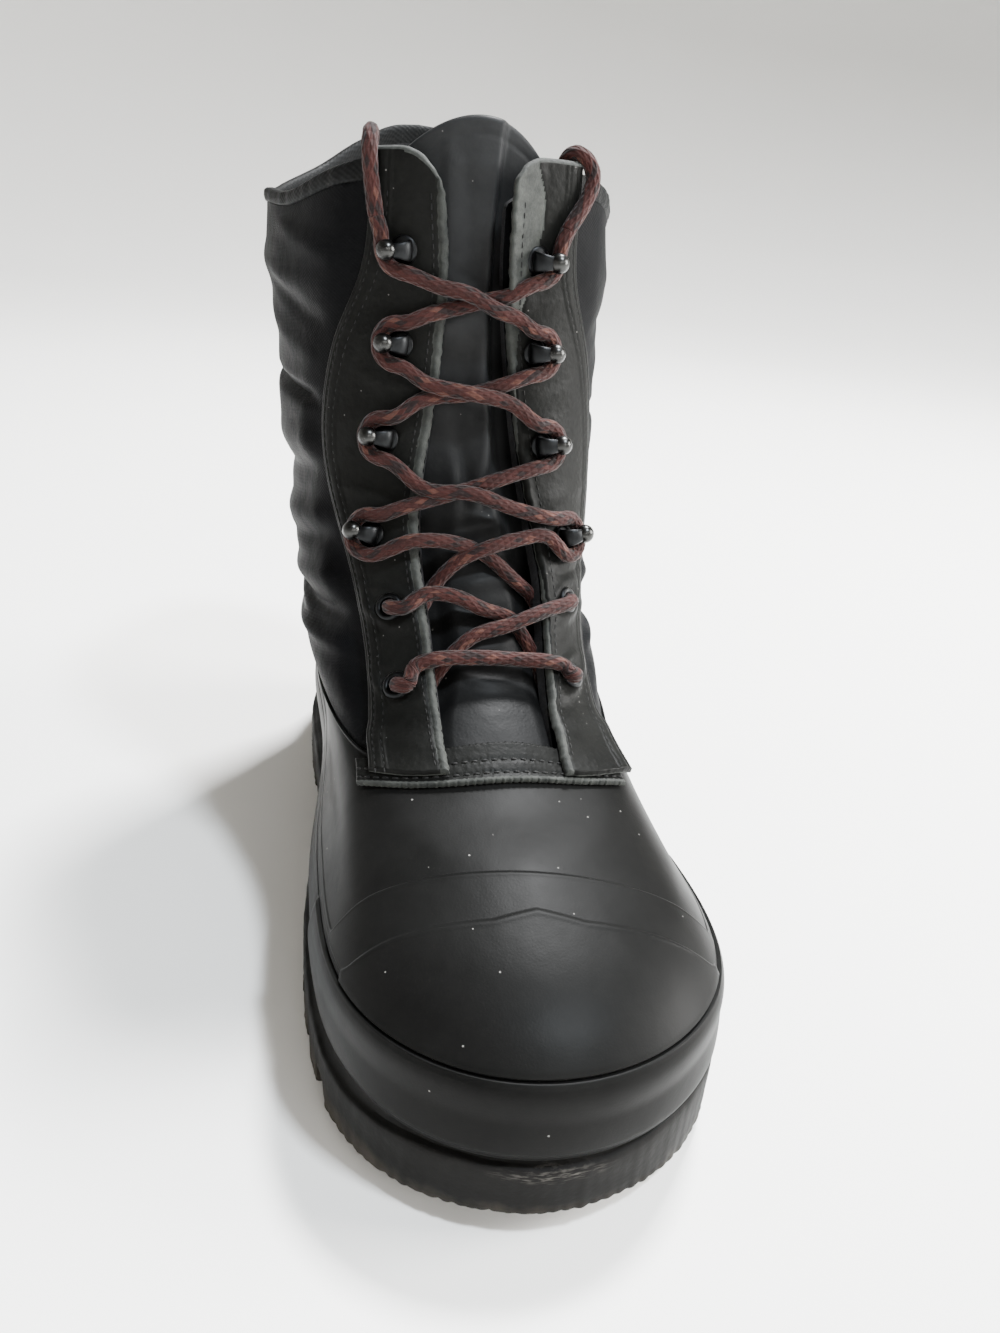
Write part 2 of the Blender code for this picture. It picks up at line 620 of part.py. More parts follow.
def eyelet_mesh():
    """Turned eyelet: a rounded flange on the leather and a barrel through leather and nylon."""
    hole, barrel, flange = (EYELET_RADII[key] for key in ("hole", "barrel", "flange"))
    depth = -(LEATHER_FACE + SHAFT_WALL)
    low = SKIN_GAP
    profile = [(hole, depth), (barrel, depth), (barrel, low), (flange, low), (flange - 0.5, low + FLANGE),
               (hole + 0.4, low + FLANGE)]
    sides = 10
    points, faces = [], []
    for j in range(sides):
        angle = 2 * math.pi * j / sides
        points += [(r * math.cos(angle) * MM, r * math.sin(angle) * MM, z * MM) for r, z in profile]
    rows = len(profile)
    for j in range(sides):
        k = (j + 1) % sides
        for i in range(rows):
            n = (i + 1) % rows
            faces.append((j * rows + i, k * rows + i, k * rows + n, j * rows + n))
    return mesh_of("eyelet", points, faces)


def make_eyelet_holes():
    """Hidden cutter of the four eyelet holes."""
    work = bmesh.new()
    for level, off_throat in EYELETS.values():
        for side, sign in SIDES.items():
            frame = seat(level, sign * off_throat[side], LEATHER_FACE)
            bmesh.ops.create_cone(work, cap_ends=True, segments=14, depth=20.0 * MM,
                                  radius1=EYELET_RADII["cut"] * MM, radius2=EYELET_RADII["cut"] * MM,
                                  matrix=frame)
    mesh = bpy.data.meshes.new("eyelet_holes")
    work.to_mesh(mesh)
    work.free()
    cutter("eyelet_holes", mesh)


HOOK_FOOT_X = -2.4
HOOK_BALL = (1.0, 6.9)               # x, height
HOOK_ARM = ((-4.4, 0.9, 3.2, 0.5), (-5.4, 3.4, 3.0, 0.7), (-3.4, 6.2, 2.6, 0.8),
            (0.2, 6.9, 1.9, 1.0))    # x, height, half width, half thickness


def hook_mesh():
    """Speed hook: round foot, an arm that curls back over it and a ball on the arm's end."""
    work = bmesh.new()
    foot = Matrix.Translation(Vector((HOOK_FOOT_X, 0, 0.7)) * MM)
    bmesh.ops.create_cone(work, cap_ends=True, segments=8, depth=0.9 * MM, radius1=4.2 * MM,
                          radius2=3.8 * MM, matrix=foot)
    foot_mesh = bpy.data.meshes.new("hook_foot")
    work.to_mesh(foot_mesh)
    work.free()

    sides = 6
    points, faces = [], []
    for at, (x, height, wide, thick) in enumerate(HOOK_ARM):
        before = HOOK_ARM[max(at - 1, 0)]
        after = HOOK_ARM[min(at + 1, len(HOOK_ARM) - 1)]
        run = Vector((after[0] - before[0], 0, after[1] - before[1])).normalized()
        up = Vector((-run.z, 0, run.x))
        for side in range(sides):
            angle = 2 * math.pi * side / sides
            place = Vector((x, 0, height)) + up * thick * math.cos(angle)
            place.y += wide * math.sin(angle)
            points.append(place * MM)
    for at in range(len(HOOK_ARM) - 1):
        for side in range(sides):
            near, after = at * sides + side, at * sides + (side + 1) % sides
            faces.append((near, after, after + sides, near + sides))
    faces.append(tuple(reversed(range(sides))))
    faces.append(tuple((len(HOOK_ARM) - 1) * sides + side for side in range(sides)))
    arm_mesh = mesh_of("hook_arm", points, faces)

    work = bmesh.new()
    bmesh.ops.create_uvsphere(work, u_segments=8, v_segments=5, radius=BALL_RADIUS * MM,
                              matrix=Matrix.Translation(Vector((HOOK_BALL[0], 0, HOOK_BALL[1])) * MM))
    ball_mesh = bpy.data.meshes.new("hook_ball")
    work.to_mesh(ball_mesh)
    work.free()

    joined = bpy.data.objects.new("hook_joined", arm_mesh)
    bpy.context.scene.collection.objects.link(joined)
    for name, mesh in (("hook_foot", foot_mesh), ("hook_ball", ball_mesh)):
        boolean(joined, cutter(name, mesh), "UNION")
    graph = bpy.context.evaluated_depsgraph_get()
    result = bpy.data.meshes.new_from_object(joined.evaluated_get(graph))
    result.name = "speed_hook"
    for name in ("hook_joined", "hook_foot", "hook_ball"):
        bpy.data.objects.remove(bpy.data.objects[name])
    return result


def make_fastenings():
    """Eyelets and hooks on their seats, one object each."""
    ring, hook = eyelet_mesh(), hook_mesh()
    for table, mesh in ((EYELETS, ring), (HOOKS, hook)):
        for name, (level, off_throat) in table.items():
            for side, sign in SIDES.items():
                piece = add_object(name + "_" + side, mesh, "dark_metal", 40.0)
                piece.matrix_world = seat(level, sign * off_throat[side], LEATHER_FACE)


# ---------------------------------------------------------------- lace

OVER_LEATHER = LEATHER_FACE + LACE_RADIUS + SKIN_GAP + 0.2   # cord's middle over the eyestay
HOOK_CLEAR = 0.15               # level between a hook and the strands above and below it
THROAT_MOUTH = 19.0             # half angle at which a strand dives under the eyestay


def strand(start, end, samples=9):
    """Cord from one place of the front to another; a place is level, degrees off the throat
    and height of the cord's middle over the last.  A strand that starts in the throat has
    climbed over the leather by the middle of its run."""
    share = np.linspace(0, 1, samples)
    level = start[0] + (end[0] - start[0]) * share
    off_throat = start[1] + (end[1] - start[1]) * share
    height = np.interp(share, (0.0, 0.25, 0.6, 1.0), (start[2], start[2], OVER_LEATHER, end[2]))
    return surface(level, throat_turn(level, off_throat), height)


def make_crossing(name, low, high):
    """Two strands that cross over the tongue, joined where they cross.  low and high give the
    level, the degrees off the throat on either side, and the height of the cord."""
    meshes = []
    for side, other in (("medial", "lateral"), ("lateral", "medial")):
        start = (low[0], SIDES[side] * low[1][side], low[2])
        end = (high[0], SIDES[other] * high[1][other], high[2])
        meshes.append(tube_mesh(name, strand(start, end), LACE_RADIUS))
    piece = add_object(name, meshes[0], "lace_cord", 40.0)
    boolean(piece, cutter(name + "_second", meshes[1]), "UNION")


def make_lace_front():
    """The bottom bar and the five crossings between eyelets and hooks."""
    eyelets, hooks = list(EYELETS.values()), list(HOOKS.values())
    on_eyelet = OVER_LEATHER + FLANGE + 0.6
    bar_level, beside = eyelets[0]
    bar = strand((bar_level, -beside["medial"], on_eyelet), (bar_level, beside["lateral"], on_eyelet))
    tube("lace_bar", bar, LACE_RADIUS, "lace_cord")
    inside = -2.4
    mouth = dict.fromkeys(SIDES, THROAT_MOUTH)
    ends = [((bar_level + 0.12, mouth, inside), (*eyelets[1], on_eyelet)),
            ((eyelets[1][0] + 0.14, mouth, inside),
             (hooks[0][0] - HOOK_CLEAR, hooks[0][1], OVER_LEATHER))]
    for below, above in zip(hooks[:-1], hooks[1:]):
        ends.append(((below[0] + HOOK_CLEAR, below[1], OVER_LEATHER),
                     (above[0] - HOOK_CLEAR, above[1], OVER_LEATHER)))
    for number, (low, high) in enumerate(ends, start=1):
        make_crossing("lace_crossing_" + str(number), low, high)


# Routes of the two lace ends: level, degrees off the throat, height over the last
LACE_ENDS = {
    "medial": ((8.68, -27.6, 5.2), (8.80, -28.5, 5.2), (8.93, -29.3, 5.2), (9.07, -30.2, 4.0),
               (9.15, -32.0, -0.2), (9.08, -34.5, -4.5), (8.93, -36.5, -6.1), (8.78, -38.0, -6.1),
               (8.55, -39.5, -6.0), (8.20, -40.5, -6.0)),
    "lateral": ((8.68, 24.6, 5.2), (8.78, 27.8, 5.2), (8.89, 31.2, 5.2), (8.98, 33.0, 4.6),
                (9.08, 31.6, 2.2), (9.11, 29.6, -1.0), (9.03, 29.2, -4.8), (8.87, 31.0, -6.1),
                (8.60, 33.5, -6.0), (8.24, 36.0, -5.9)),
}


def make_lace_ends():
    """The two ends: up from the top hooks, over the collar and down inside the shaft."""
    for side, route in LACE_ENDS.items():
        level, off_throat, out = np.array(route).T
        path = smooth_path(surface(level, throat_turn(level, off_throat), out), 12)
        tube("lace_end_" + side, path, LACE_RADIUS, "lace_cord")


def main():
    """Build every piece of the boot."""
    for old in list(bpy.data.objects):
        bpy.data.objects.remove(old)
    make_outsole()
    make_rubber_shell()
    make_insole()
    make_eyelet_holes()
    make_nylon_shaft()
    make_throat_strip()
    make_tongue()
    for side in SIDES:
        make_eyestay(side)
    make_fastenings()
    make_lace_front()
    make_lace_ends()


main()
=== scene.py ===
"""Visual model of a lace-up rubber rain boot, the wearer's left one.

The toe points to -Y, the big-toe side is -X, +Z is up and the floor is z = 0.  Every piece of
the upper follows one function, surface(level, turn, out): level counts the rings of the last
from the feather line (0) to the collar (9), turn goes round the foot from the toe (0) to the
back (pi), positive to the outer side, and out is the stand-out from the last in millimetres.
"""
import math

import bpy
import numpy as np
from bpy.props import FloatProperty, FloatVectorProperty, PointerProperty
from mathutils import Matrix, Vector


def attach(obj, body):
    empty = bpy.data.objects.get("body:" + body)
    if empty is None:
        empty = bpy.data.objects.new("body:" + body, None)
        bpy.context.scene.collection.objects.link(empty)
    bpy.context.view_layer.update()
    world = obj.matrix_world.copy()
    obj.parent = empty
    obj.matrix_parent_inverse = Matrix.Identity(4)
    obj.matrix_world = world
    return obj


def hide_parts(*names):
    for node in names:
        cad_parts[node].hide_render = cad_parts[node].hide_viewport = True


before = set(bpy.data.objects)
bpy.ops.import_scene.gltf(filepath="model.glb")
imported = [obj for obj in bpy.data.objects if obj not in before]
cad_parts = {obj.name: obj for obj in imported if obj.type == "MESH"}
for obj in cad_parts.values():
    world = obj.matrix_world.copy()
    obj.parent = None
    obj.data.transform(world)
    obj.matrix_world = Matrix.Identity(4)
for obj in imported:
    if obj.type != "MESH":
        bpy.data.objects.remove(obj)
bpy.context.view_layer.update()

bl_info = {
    "name": "Lace-up rubber rain boot",
    "version": (1, 0, 0),
    "blender": (4, 5, 0),
    "location": "3D View > Sidebar > Boot",
    "description": "Builds the visible pieces of a laced rubber and nylon boot round its solids",
    "category": "Object",
}

MM = 0.001                      # sizes below are in millimetres, the model is in metres

# ---------------------------------------------------------------- sizes shared with the solids

RUBBER_WALL = 2.4
LEATHER = 1.8
FACING_GAP = 0.7
LEATHER_FACE = FACING_GAP + LEATHER
TONGUE_THICKNESS = 2.6
INSOLE_THICKNESS = 4.5
SKIN_GAP = 0.3
LACE_RADIUS = 2.35
TOE_SPRING = 8.0
ARCH_RISE = 7.0
ARCH_START = 12.0
HEEL_BREAST = 66.0
LUG_DEPTH = 5.5
LUG_GAP = 7.0
SPINE_HALF = 9.0
FOREFOOT_GROOVES = (-118.0, -98.0, -78.0, -58.0, -38.0, -18.0)
HEEL_GROOVES = (86.0, 108.0, 130.0)
GROOVE_SLANT = math.radians(14.0)

RING_COLUMNS = ("front_y", "front_z", "back_y", "back_z", "tip", "corner", "ball", "waist",
                "heel", "back", "toe_shift", "waist_shift", "side_dip")
RINGS = {
    "feather":    (-158,  26, 158,  30, 93, 44, 57, 43, 35, 66, -4,  3,  0),
    "bumper":     (-157,  37, 160,  37, 87, 43, 58, 46, 38, 70, -4,  3,  0),
    "seam":       (-155,  49, 157,  46, 92, 43, 55, 45, 38, 68, -4,  2,  1),
    "crest":      (-137,  61, 153,  62, 81, 38, 49, 43, 37, 66, -4,  1,  2),
    "vamp":       (-104,  72, 150,  82, 58, 30, 47, 43, 37, 62, -3,  0,  1),
    "rubber_top": (-69,   81, 148, 101, 51, 27, 48, 44, 36, 60, -3, -1,  0),
    "instep":     (-34,  106, 145, 121, 50, 27, 48, 47, 37, 58, -3, -2,  0),
    "ankle":      (-8,   144, 143, 150, 50, 30, 51, 52, 39, 56, -2, -2,  0),
    "shaft":      (4,    194, 142, 202, 54, 31, 53, 56, 41, 58, -1, -3,  4),
    "collar":     (5,    247, 146, 259, 58, 31, 53, 60, 44, 62, -1, -3, 21),
}
RING_TABLE = np.array(list(RINGS.values()), float)
LEVELS = np.arange(len(RINGS), dtype=float)
TOP_LEVEL = len(RINGS) - 1
BUMPER_LEVEL, SEAM_LEVEL = 1, 2
STATION_TURNS = np.arccos(1 - 2 * np.array((0.0, 0.07, 0.33, 0.60, 0.87, 1.0)))

RUBBER_EDGE = {0: 5.10, 30: 5.00, 50: 4.65, 80: 4.70, 120: 4.85, 180: 5.00}
THROAT_HALF = {5.0: 20.0, 5.9: 23.5, 6.8: 22.5, 7.4: 17.0, 7.8: 13.5, 8.3: 11.0, 9.0: 11.0}
THROAT_SHIFT = {5.0: 2.0, 6.3: 4.0, 7.4: -1.5, 9.0: -3.5}
FACING_HALF = {4.4: 46.0, 5.5: 44.0, 6.5: 46.0, 7.5: 48.0, 7.9: 43.0, 8.4: 33.0, 9.0: 31.0}
TONGUE_HALF = {5.1: 24.0, 5.6: 31.0, 9.3: 31.0}
STRIP_CREST, STRIP_DROP = 4.97, {"medial": 0.9, "lateral": 1.12}   # levels, and at 50 degrees
QUILT_LEVEL = 7.55
TONGUE_TOP_LEVEL = 9.24
EDGE_TRIM = {
    "medial": {5.0: -0.5, 5.9: -1.6, 6.5: -1.2, 7.1: -1.2, 7.6: -1.9, 8.0: -1.8, 8.45: -1.2, 8.7: -0.5,
               9.0: 0.0},
    "lateral": {5.0: -2.0, 5.5: -3.4, 6.2: -3.6, 6.8: -3.0, 7.3: -1.5, 7.9: -1.5, 8.4: -2.8, 8.75: -4.0,
                9.0: -4.0},
}
RIM_DIP = {0: 0.0, 72: 0.0, 92: -0.02, 118: 0.22, 142: 0.25, 158: 0.12, 170: 0.02, 180: 0.0}
CORNER_CUT = {"medial": (13.0, 8.60, 0.20), "lateral": (8.0, 8.78, 0.12)}    # degrees, level, rise

SIDES = {"medial": -1.0, "lateral": 1.0}
EYELETS = {"eyelet_1": (5.60, {"medial": 33.5, "lateral": 30.5}),
           "eyelet_2": (6.24, {"medial": 33.5, "lateral": 31.0})}
HOOKS = {"hook_1": (6.76, {"medial": 36.5, "lateral": 31.5}),
         "hook_2": (7.42, {"medial": 28.0, "lateral": 24.5}),
         "hook_3": (7.98, {"medial": 23.5, "lateral": 21.0}),
         "hook_4": (8.51, {"medial": 23.0, "lateral": 19.5})}


# ---------------------------------------------------------------- the last as a function

def cubic(part, width, ends, slopes):
    """Cubic between two values with two slopes; part goes from 0 to 1 over the width."""
    return ((1 + 2 * part) * (1 - part) ** 2 * ends[0]
            + part * (1 - part) ** 2 * width * slopes[0]
            + part ** 2 * (3 - 2 * part) * ends[1]
            + part ** 2 * (part - 1) * width * slopes[1])


def smooth_table(knots, values, at):
    """Cubic curve through (knots, values) with averaged slopes, read at the given places."""
    knots, values, at = np.asarray(knots, float), np.asarray(values, float), np.asarray(at, float)
    column = (slice(None), None) if values.ndim == 2 else slice(None)
    step = np.diff(knots)
    secant = np.diff(values, axis=0) / step[column]
    slope = np.concatenate([secant[:1], np.zeros_like(secant[1:]), secant[-1:]])
    near, far = step[:-1][column], step[1:][column]
    slope[1:-1] = (secant[:-1] * far + secant[1:] * near) / (near + far)
    cell = np.clip(np.searchsorted(knots, at, side="right") - 1, 0, len(step) - 1)
    width = step[cell]
    part = (at - knots[cell]) / width
    if values.ndim == 2:
        part, width = part[..., None], width[..., None]
    return cubic(part, width, (values[cell], values[cell + 1]), (slope[cell], slope[cell + 1]))


def read_line(line, at):
    """Straight lines through a small table {place: value}, read at the given places."""
    return np.interp(at, list(line), list(line.values()))


def read_curve(line, at):
    """Smooth curve through a small table {place: value}, held at its ends."""
    knots = list(line)
    return smooth_table(knots, list(line.values()), np.clip(at, knots[0], knots[-1]))


def end_and_side_widths():
    """Width factor of each ring at the six stations: half width over the sine of the turn."""
    widths = RING_TABLE[:, 4:10].copy()
    widths[:, 1:5] /= np.sin(STATION_TURNS[1:5])
    return widths


WIDTH_TABLE = end_and_side_widths()


def ring_point(level, turn):
    """A point of the last in millimetres: x = centre + width * sin(turn), y and z run from the
    front point to the back point of the ring with (1 - cos(turn)) / 2, and the sides dip."""
    level, turn = np.broadcast_arrays(np.asarray(level, float), np.asarray(turn, float))
    ring = dict(zip(RING_COLUMNS, np.moveaxis(smooth_table(LEVELS, RING_TABLE, level), -1, 0)))
    widths = smooth_table(LEVELS, WIDTH_TABLE, level)
    wrapped = np.mod(turn, 2 * math.pi)
    side = np.where(wrapped <= math.pi, 1.0, -1.0)
    around = np.where(wrapped <= math.pi, wrapped, 2 * math.pi - wrapped)
    share = (1 - np.cos(around)) / 2

    gap = np.diff(STATION_TURNS)
    secant = np.diff(widths, axis=-1) / gap
    slope = np.zeros_like(widths)
    near, far = gap[:-1], gap[1:]
    slope[..., 1:-1] = (secant[..., :-1] * far + secant[..., 1:] * near) / (near + far)
    cell = np.clip(np.searchsorted(STATION_TURNS, around, side="right") - 1, 0, len(gap) - 1)
    part = (around - STATION_TURNS[cell]) / gap[cell]

    def pick(values, offset):
        return np.take_along_axis(values, (cell + offset)[..., None], -1)[..., 0]

    width = cubic(part, gap[cell], (pick(widths, 0), pick(widths, 1)),
                  (pick(slope, 0), pick(slope, 1)))
    centre = ring["toe_shift"] * (1 - share) ** 2 + ring["waist_shift"] * 4 * share * (1 - share)
    x = centre + side * width * np.sin(around)
    y = ring["front_y"] + (ring["back_y"] - ring["front_y"]) * share
    z = ring["front_z"] + (ring["back_z"] - ring["front_z"]) * share
    return np.stack([x, y, z - ring["side_dip"] * np.sin(around) ** 4], -1)


def bare_surface(level, turn):
    """The last, going straight on above its top ring."""
    level = np.asarray(level, float)
    inside = np.minimum(level, TOP_LEVEL)
    top = TOP_LEVEL + 0 * inside
    rise = (ring_point(top, turn) - ring_point(top - 0.1, turn)) / 0.1
    return ring_point(inside, turn) + rise * (level - inside)[..., None]


def unit(vectors):
    """Vectors scaled to length 1."""
    return vectors / np.linalg.norm(vectors, axis=-1, keepdims=True)


def outward(level, turn):
    """Unit vectors that point out of the last."""
    low, high = np.maximum(level - 0.03, 0.0), level + 0.03
    along = bare_surface(high, turn) - bare_surface(low, turn)
    around = bare_surface(level, turn + 0.02) - bare_surface(level, turn - 0.02)
    return unit(np.cross(around, along))


def plan_ring(level, turns, out):
    """A ring of the last seen from above, moved outwards level with the floor."""
    ring = ring_point(level, turns)
    around = ring_point(level, turns + 0.01) - ring_point(level, turns - 0.01)
    away = unit(np.stack([around[..., 1], -around[..., 0]], -1))
    ring[..., :2] += away * np.broadcast_to(out, turns.shape)[..., None]
    return ring


def outline_centre():
    """Middle of the boot's outline, which is the origin of the model."""
    outline = plan_ring(BUMPER_LEVEL, np.linspace(0, 2 * math.pi, 721), 0.0)
    middle = (outline.min(0) + outline.max(0)) / 2
    return np.array([middle[0], middle[1], 0.0])


CENTRE = outline_centre()


def in_model(points):
    """Places on the last, in millimetres, as points of the model in metres."""
    return (points - CENTRE) * MM


def surface(level, turn, out=0.0):
    """Points of the boot in metres, standing out millimetres proud of the last."""
    level, turn, out = np.broadcast_arrays(np.asarray(level, float), np.asarray(turn, float),
                                           np.asarray(out, float))
    return in_model(bare_surface(level, turn) + outward(level, turn) * out[..., None])


def throat_half(level):
    """Half angle of the throat, in degrees."""
    return read_curve(THROAT_HALF, level)


def throat_edge(level, side):
    """Angle from the middle of the throat to its edge on one side, as cut in the leather."""
    return SIDES[side] * (throat_half(level) + read_curve(EDGE_TRIM[side], level))


def facing_half(level):
    """Half angle of the facings' outer edge, in degrees."""
    return read_curve(FACING_HALF, level)


def degrees_from_toe(turn):
    """A turn in degrees, from -180 to 180, with 0 at the toe."""
    return np.degrees(np.mod(turn + math.pi, 2 * math.pi) - math.pi)


def off_throat(level, turn):
    """How far a turn lies from the middle of the throat, in degrees, positive outwards."""
    return degrees_from_toe(turn) - read_curve(THROAT_SHIFT, level)


def throat_turn(level, degrees):
    """The turn that lies so many degrees from the middle of the throat."""
    return np.radians(degrees + read_curve(THROAT_SHIFT, level))


def rubber_edge(turn):
    """Level of the top edge of the rubber shell."""
    return read_curve(RUBBER_EDGE, np.abs(degrees_from_toe(turn)))


def strip_edge(turn):
    """Level of the lower edge of the leather strip: an arch across the vamp."""
    drop = np.where(turn > 0, STRIP_DROP["lateral"], STRIP_DROP["medial"])
    return STRIP_CREST - drop * (np.degrees(turn) / 50.0) ** 2


def ease(value):
    """0 below 0, 1 above 1 and a soft step between."""
    value = np.clip(value, 0.0, 1.0)
    return value * value * (3 - 2 * value)


def bell(value):
    """Soft hump: exp(-value squared)."""
    return np.exp(-np.asarray(value) ** 2)


def rounded_edge(distance, width):
    """0 at an edge and 1 past its width, on a quarter circle between."""
    return np.sqrt(1 - (1 - np.clip(distance / width, 0, 1)) ** 2)


def ripple(place, waves, seed):
    """Sum of a few sines of the given numbers of waves with drawn phases, about -1 to 1."""
    draw = np.random.default_rng(seed)
    phases = draw.uniform(0, 2 * math.pi, len(waves))
    weights = draw.uniform(0.5, 1.0, len(waves))
    total = sum(weight * np.sin(count * place + phase)
                for weight, count, phase in zip(weights, waves, phases))
    return total / weights.sum()


# ---------------------------------------------------------------- meshes

class Skin:
    """Collects grids of points into one mesh, with a finish and a UV place for every corner."""

    def __init__(self):
        self.points, self.faces, self.uv, self.finish = [], [], [], []
        self.count = 0

    def add_points(self, points):
        """Stores points and returns the number of the first one."""
        first = self.count
        self.points.append(np.asarray(points, float).reshape(-1, 3))
        self.count += len(self.points[-1])
        return first

    def add_faces(self, faces, uv=None, finish=0, flip=False):
        """Stores faces of three or four corners, with a UV place and a finish for each."""
        faces = np.asarray(faces)
        size = faces.shape[1]
        uv = np.zeros((len(faces), size, 2)) if uv is None else np.asarray(uv, float)
        if flip:
            faces, uv = faces[:, ::-1], uv[:, ::-1]
        self.faces.append(faces)
        self.uv.append(uv)
        self.finish.append(np.broadcast_to(finish, len(faces)))

    def grid(self, points, closed=False, uv=None, finish=0, flip=False):
        """Quads over a grid of points, rows up and columns round; returns its first point."""
        rows, columns = points.shape[:2]
        first = self.add_points(points)
        corners = grid_corners(rows, columns, closed) + first
        if uv is not None:
            u, v = np.broadcast_arrays(*uv)
            both = np.stack([u, v], -1)
            uv = np.stack([both[:-1, :-1], both[:-1, 1:], both[1:, 1:], both[1:, :-1]], 2)
            uv = uv.reshape(-1, 4, 2)
        if np.ndim(finish) == 2:
            finish = finish.reshape(-1)
        self.add_faces(corners, uv, finish, flip)
        return first

    def close_ring(self, ring, columns, pole, flip=False):
        """Triangles from a ring of points to a pole over or under it."""
        tip = self.add_points(pole)
        j = np.arange(columns)
        fan = np.stack([ring + j, ring + (j + 1) % columns, np.full(columns, tip)], -1)
        self.add_faces(fan, flip=flip)

    def make(self, name, finishes, sharp):
        """The finished object, smooth up to an angle in degrees."""
        starts, at = [], 0
        for faces in self.faces:
            starts.append(at + faces.shape[1] * np.arange(len(faces)))
            at += faces.size
        corners = np.concatenate([faces.reshape(-1) for faces in self.faces])
        mesh = bpy.data.meshes.new(name)
        points = np.concatenate(self.points)
        mesh.vertices.add(len(points))
        mesh.vertices.foreach_set("co", points.ravel())
        mesh.loops.add(len(corners))
        mesh.loops.foreach_set("vertex_index", corners.astype(np.int32))
        starts = np.concatenate(starts)
        mesh.polygons.add(len(starts))
        mesh.polygons.foreach_set("loop_start", starts.astype(np.int32))
        mesh.polygons.foreach_set("material_index",
                                  np.concatenate(self.finish).astype(np.int32))
        layer = mesh.uv_layers.new(name="UVMap")
        layer.uv.foreach_set("vector", np.concatenate([uv.reshape(-1) for uv in self.uv]))
        mesh.update(calc_edges=True)
        mesh.validate()
        for finish in finishes:
            mesh.materials.append(finish)
        mesh.shade_smooth()
        mesh.set_sharp_from_angle(angle=math.radians(sharp))
        piece = bpy.data.objects.new(name, mesh)
        bpy.context.scene.collection.objects.link(piece)
        return piece


def grid_corners(rows, columns, closed=False):
    """Corner numbers of the quads of a grid."""
    i = np.arange(rows - 1)[:, None]
    j = np.arange(columns if closed else columns - 1)[None, :]
    k = (j + 1) % columns
    corners = np.stack(np.broadcast_arrays(i * columns + j, i * columns + k,
                                           (i + 1) * columns + k, (i + 1) * columns + j), -1)
    return corners.reshape(-1, 4)


def add_sheet(skin, front, back, flip=False, uv=None, finish=0, rim_finish=0, back_finish=None):
    """A sheet with a thickness: its front, its back and the rim between their edges."""
    rows, columns = front.shape[:2]
    back_finish = finish if back_finish is None else back_finish
    first = skin.grid(front, uv=uv, finish=finish, flip=flip)
    second = skin.grid(back, uv=uv, finish=back_finish, flip=not flip)
    j, i = np.arange(columns), np.arange(rows)
    loop = np.concatenate([j, i[1:] * columns + columns - 1, (rows - 1) * columns + j[-2::-1],
                           i[-2:0:-1] * columns])
    after = np.roll(loop, -1)
    rim = np.stack([first + loop, second + loop, second + after, first + after], -1)
    skin.add_faces(rim, finish=rim_finish, flip=flip)


def add_rim(skin, first, second, columns, flip=False):
    """Quads between two rings of points of the same count."""
    j = np.arange(columns)
    k = (j + 1) % columns
    skin.add_faces(np.stack([first + j, second + j, second + k, first + k], -1), flip=flip)


def add_cap(skin, ring_first, ring, across, height=None, flip=False):
    """A cap over a closed ring whose column j and column -j face each other.  height(x, y, z)
    gives the height of its inner points, all in the last's millimetres; without it the cap goes
    straight across."""
    columns = len(ring)
    half = columns // 2
    share = np.linspace(0, 1, across + 1)[None, 1:-1, None]
    j = np.arange(1, half)
    left, right = ring[-j], ring[j]
    inner = left[:, None] + (right - left)[:, None] * share
    if height is not None:
        inner[..., 2] = height(*np.moveaxis(inner / MM + CENTRE, -1, 0)) * MM
    first = skin.add_points(inner)
    number = np.empty((half - 1, across + 1), int)
    number[:, 0] = ring_first + (-j) % columns
    number[:, -1] = ring_first + j
    number[:, 1:-1] = first + np.arange(inner[..., 0].size).reshape(half - 1, across - 1)
    quads = np.stack([number[:-1, :-1], number[:-1, 1:], number[1:, 1:], number[1:, :-1]], -1)
    skin.add_faces(quads.reshape(-1, 4), flip=flip)
    toe = np.full(across, ring_first)
    skin.add_faces(np.stack([toe, number[0, 1:], number[0, :-1]], -1), flip=flip)
    heel = np.full(across, ring_first + half)
    skin.add_faces(np.stack([number[-1, :-1], number[-1, 1:], heel], -1), flip=flip)


def add_cord(skin, path, reference, radius):
    """Round cord along a path: point = path(s) + radius(s, angle) * (cos(angle) * side(s) +
    sin(angle) * lift(s)), where side and lift are square to the path and the braid swells the
    radius.  Both ends close in a low cone."""
    tangent = unit(np.gradient(path, axis=0))
    side = unit(np.cross(tangent, reference))
    lift = np.cross(tangent, side)
    along = length_along(path)
    share = np.arange(CORD_SIDES) / CORD_SIDES
    swell = 1.0 + braid_relief(along[:, None], share[None, :])
    size = (np.broadcast_to(radius, along.shape)[:, None] * swell)[..., None]
    angle = (2 * math.pi * share)[None, :, None]
    points = path[:, None] + size * (np.cos(angle) * side[:, None] + np.sin(angle) * lift[:, None])
    places = (along[:, None], np.arange(CORD_SIDES + 1)[None, :] / CORD_SIDES)
    first = skin.grid(points, closed=True, uv=places)
    for end, turned in ((0, True), (len(path) - 1, False)):
        pole = path[end] + tangent[end] * radius * (-0.3 if turned else 0.3)
        skin.close_ring(first + end * CORD_SIDES, CORD_SIDES, pole, turned)


def turned_points(radius, height, sides):
    """A profile of radius and height carried round the Z axis."""
    angle = np.linspace(0, 2 * math.pi, sides, endpoint=False)
    radius, height = radius[:, None], height[:, None]
    return np.stack(np.broadcast_arrays(radius * np.cos(angle), radius * np.sin(angle), height), -1)


def add_turned(skin, profile, place, sides, closed=False, finish=0):
    """Turned part: the profile (radius, height) in millimetres carried round the Z axis of a
    seat.  A closed profile joins its last point to its first."""
    local = turned_points(*np.array(profile, float).T, sides)
    if closed:
        local = np.concatenate([local, local[:1]])
    return skin.grid(seated(local, place), closed=True, finish=finish)


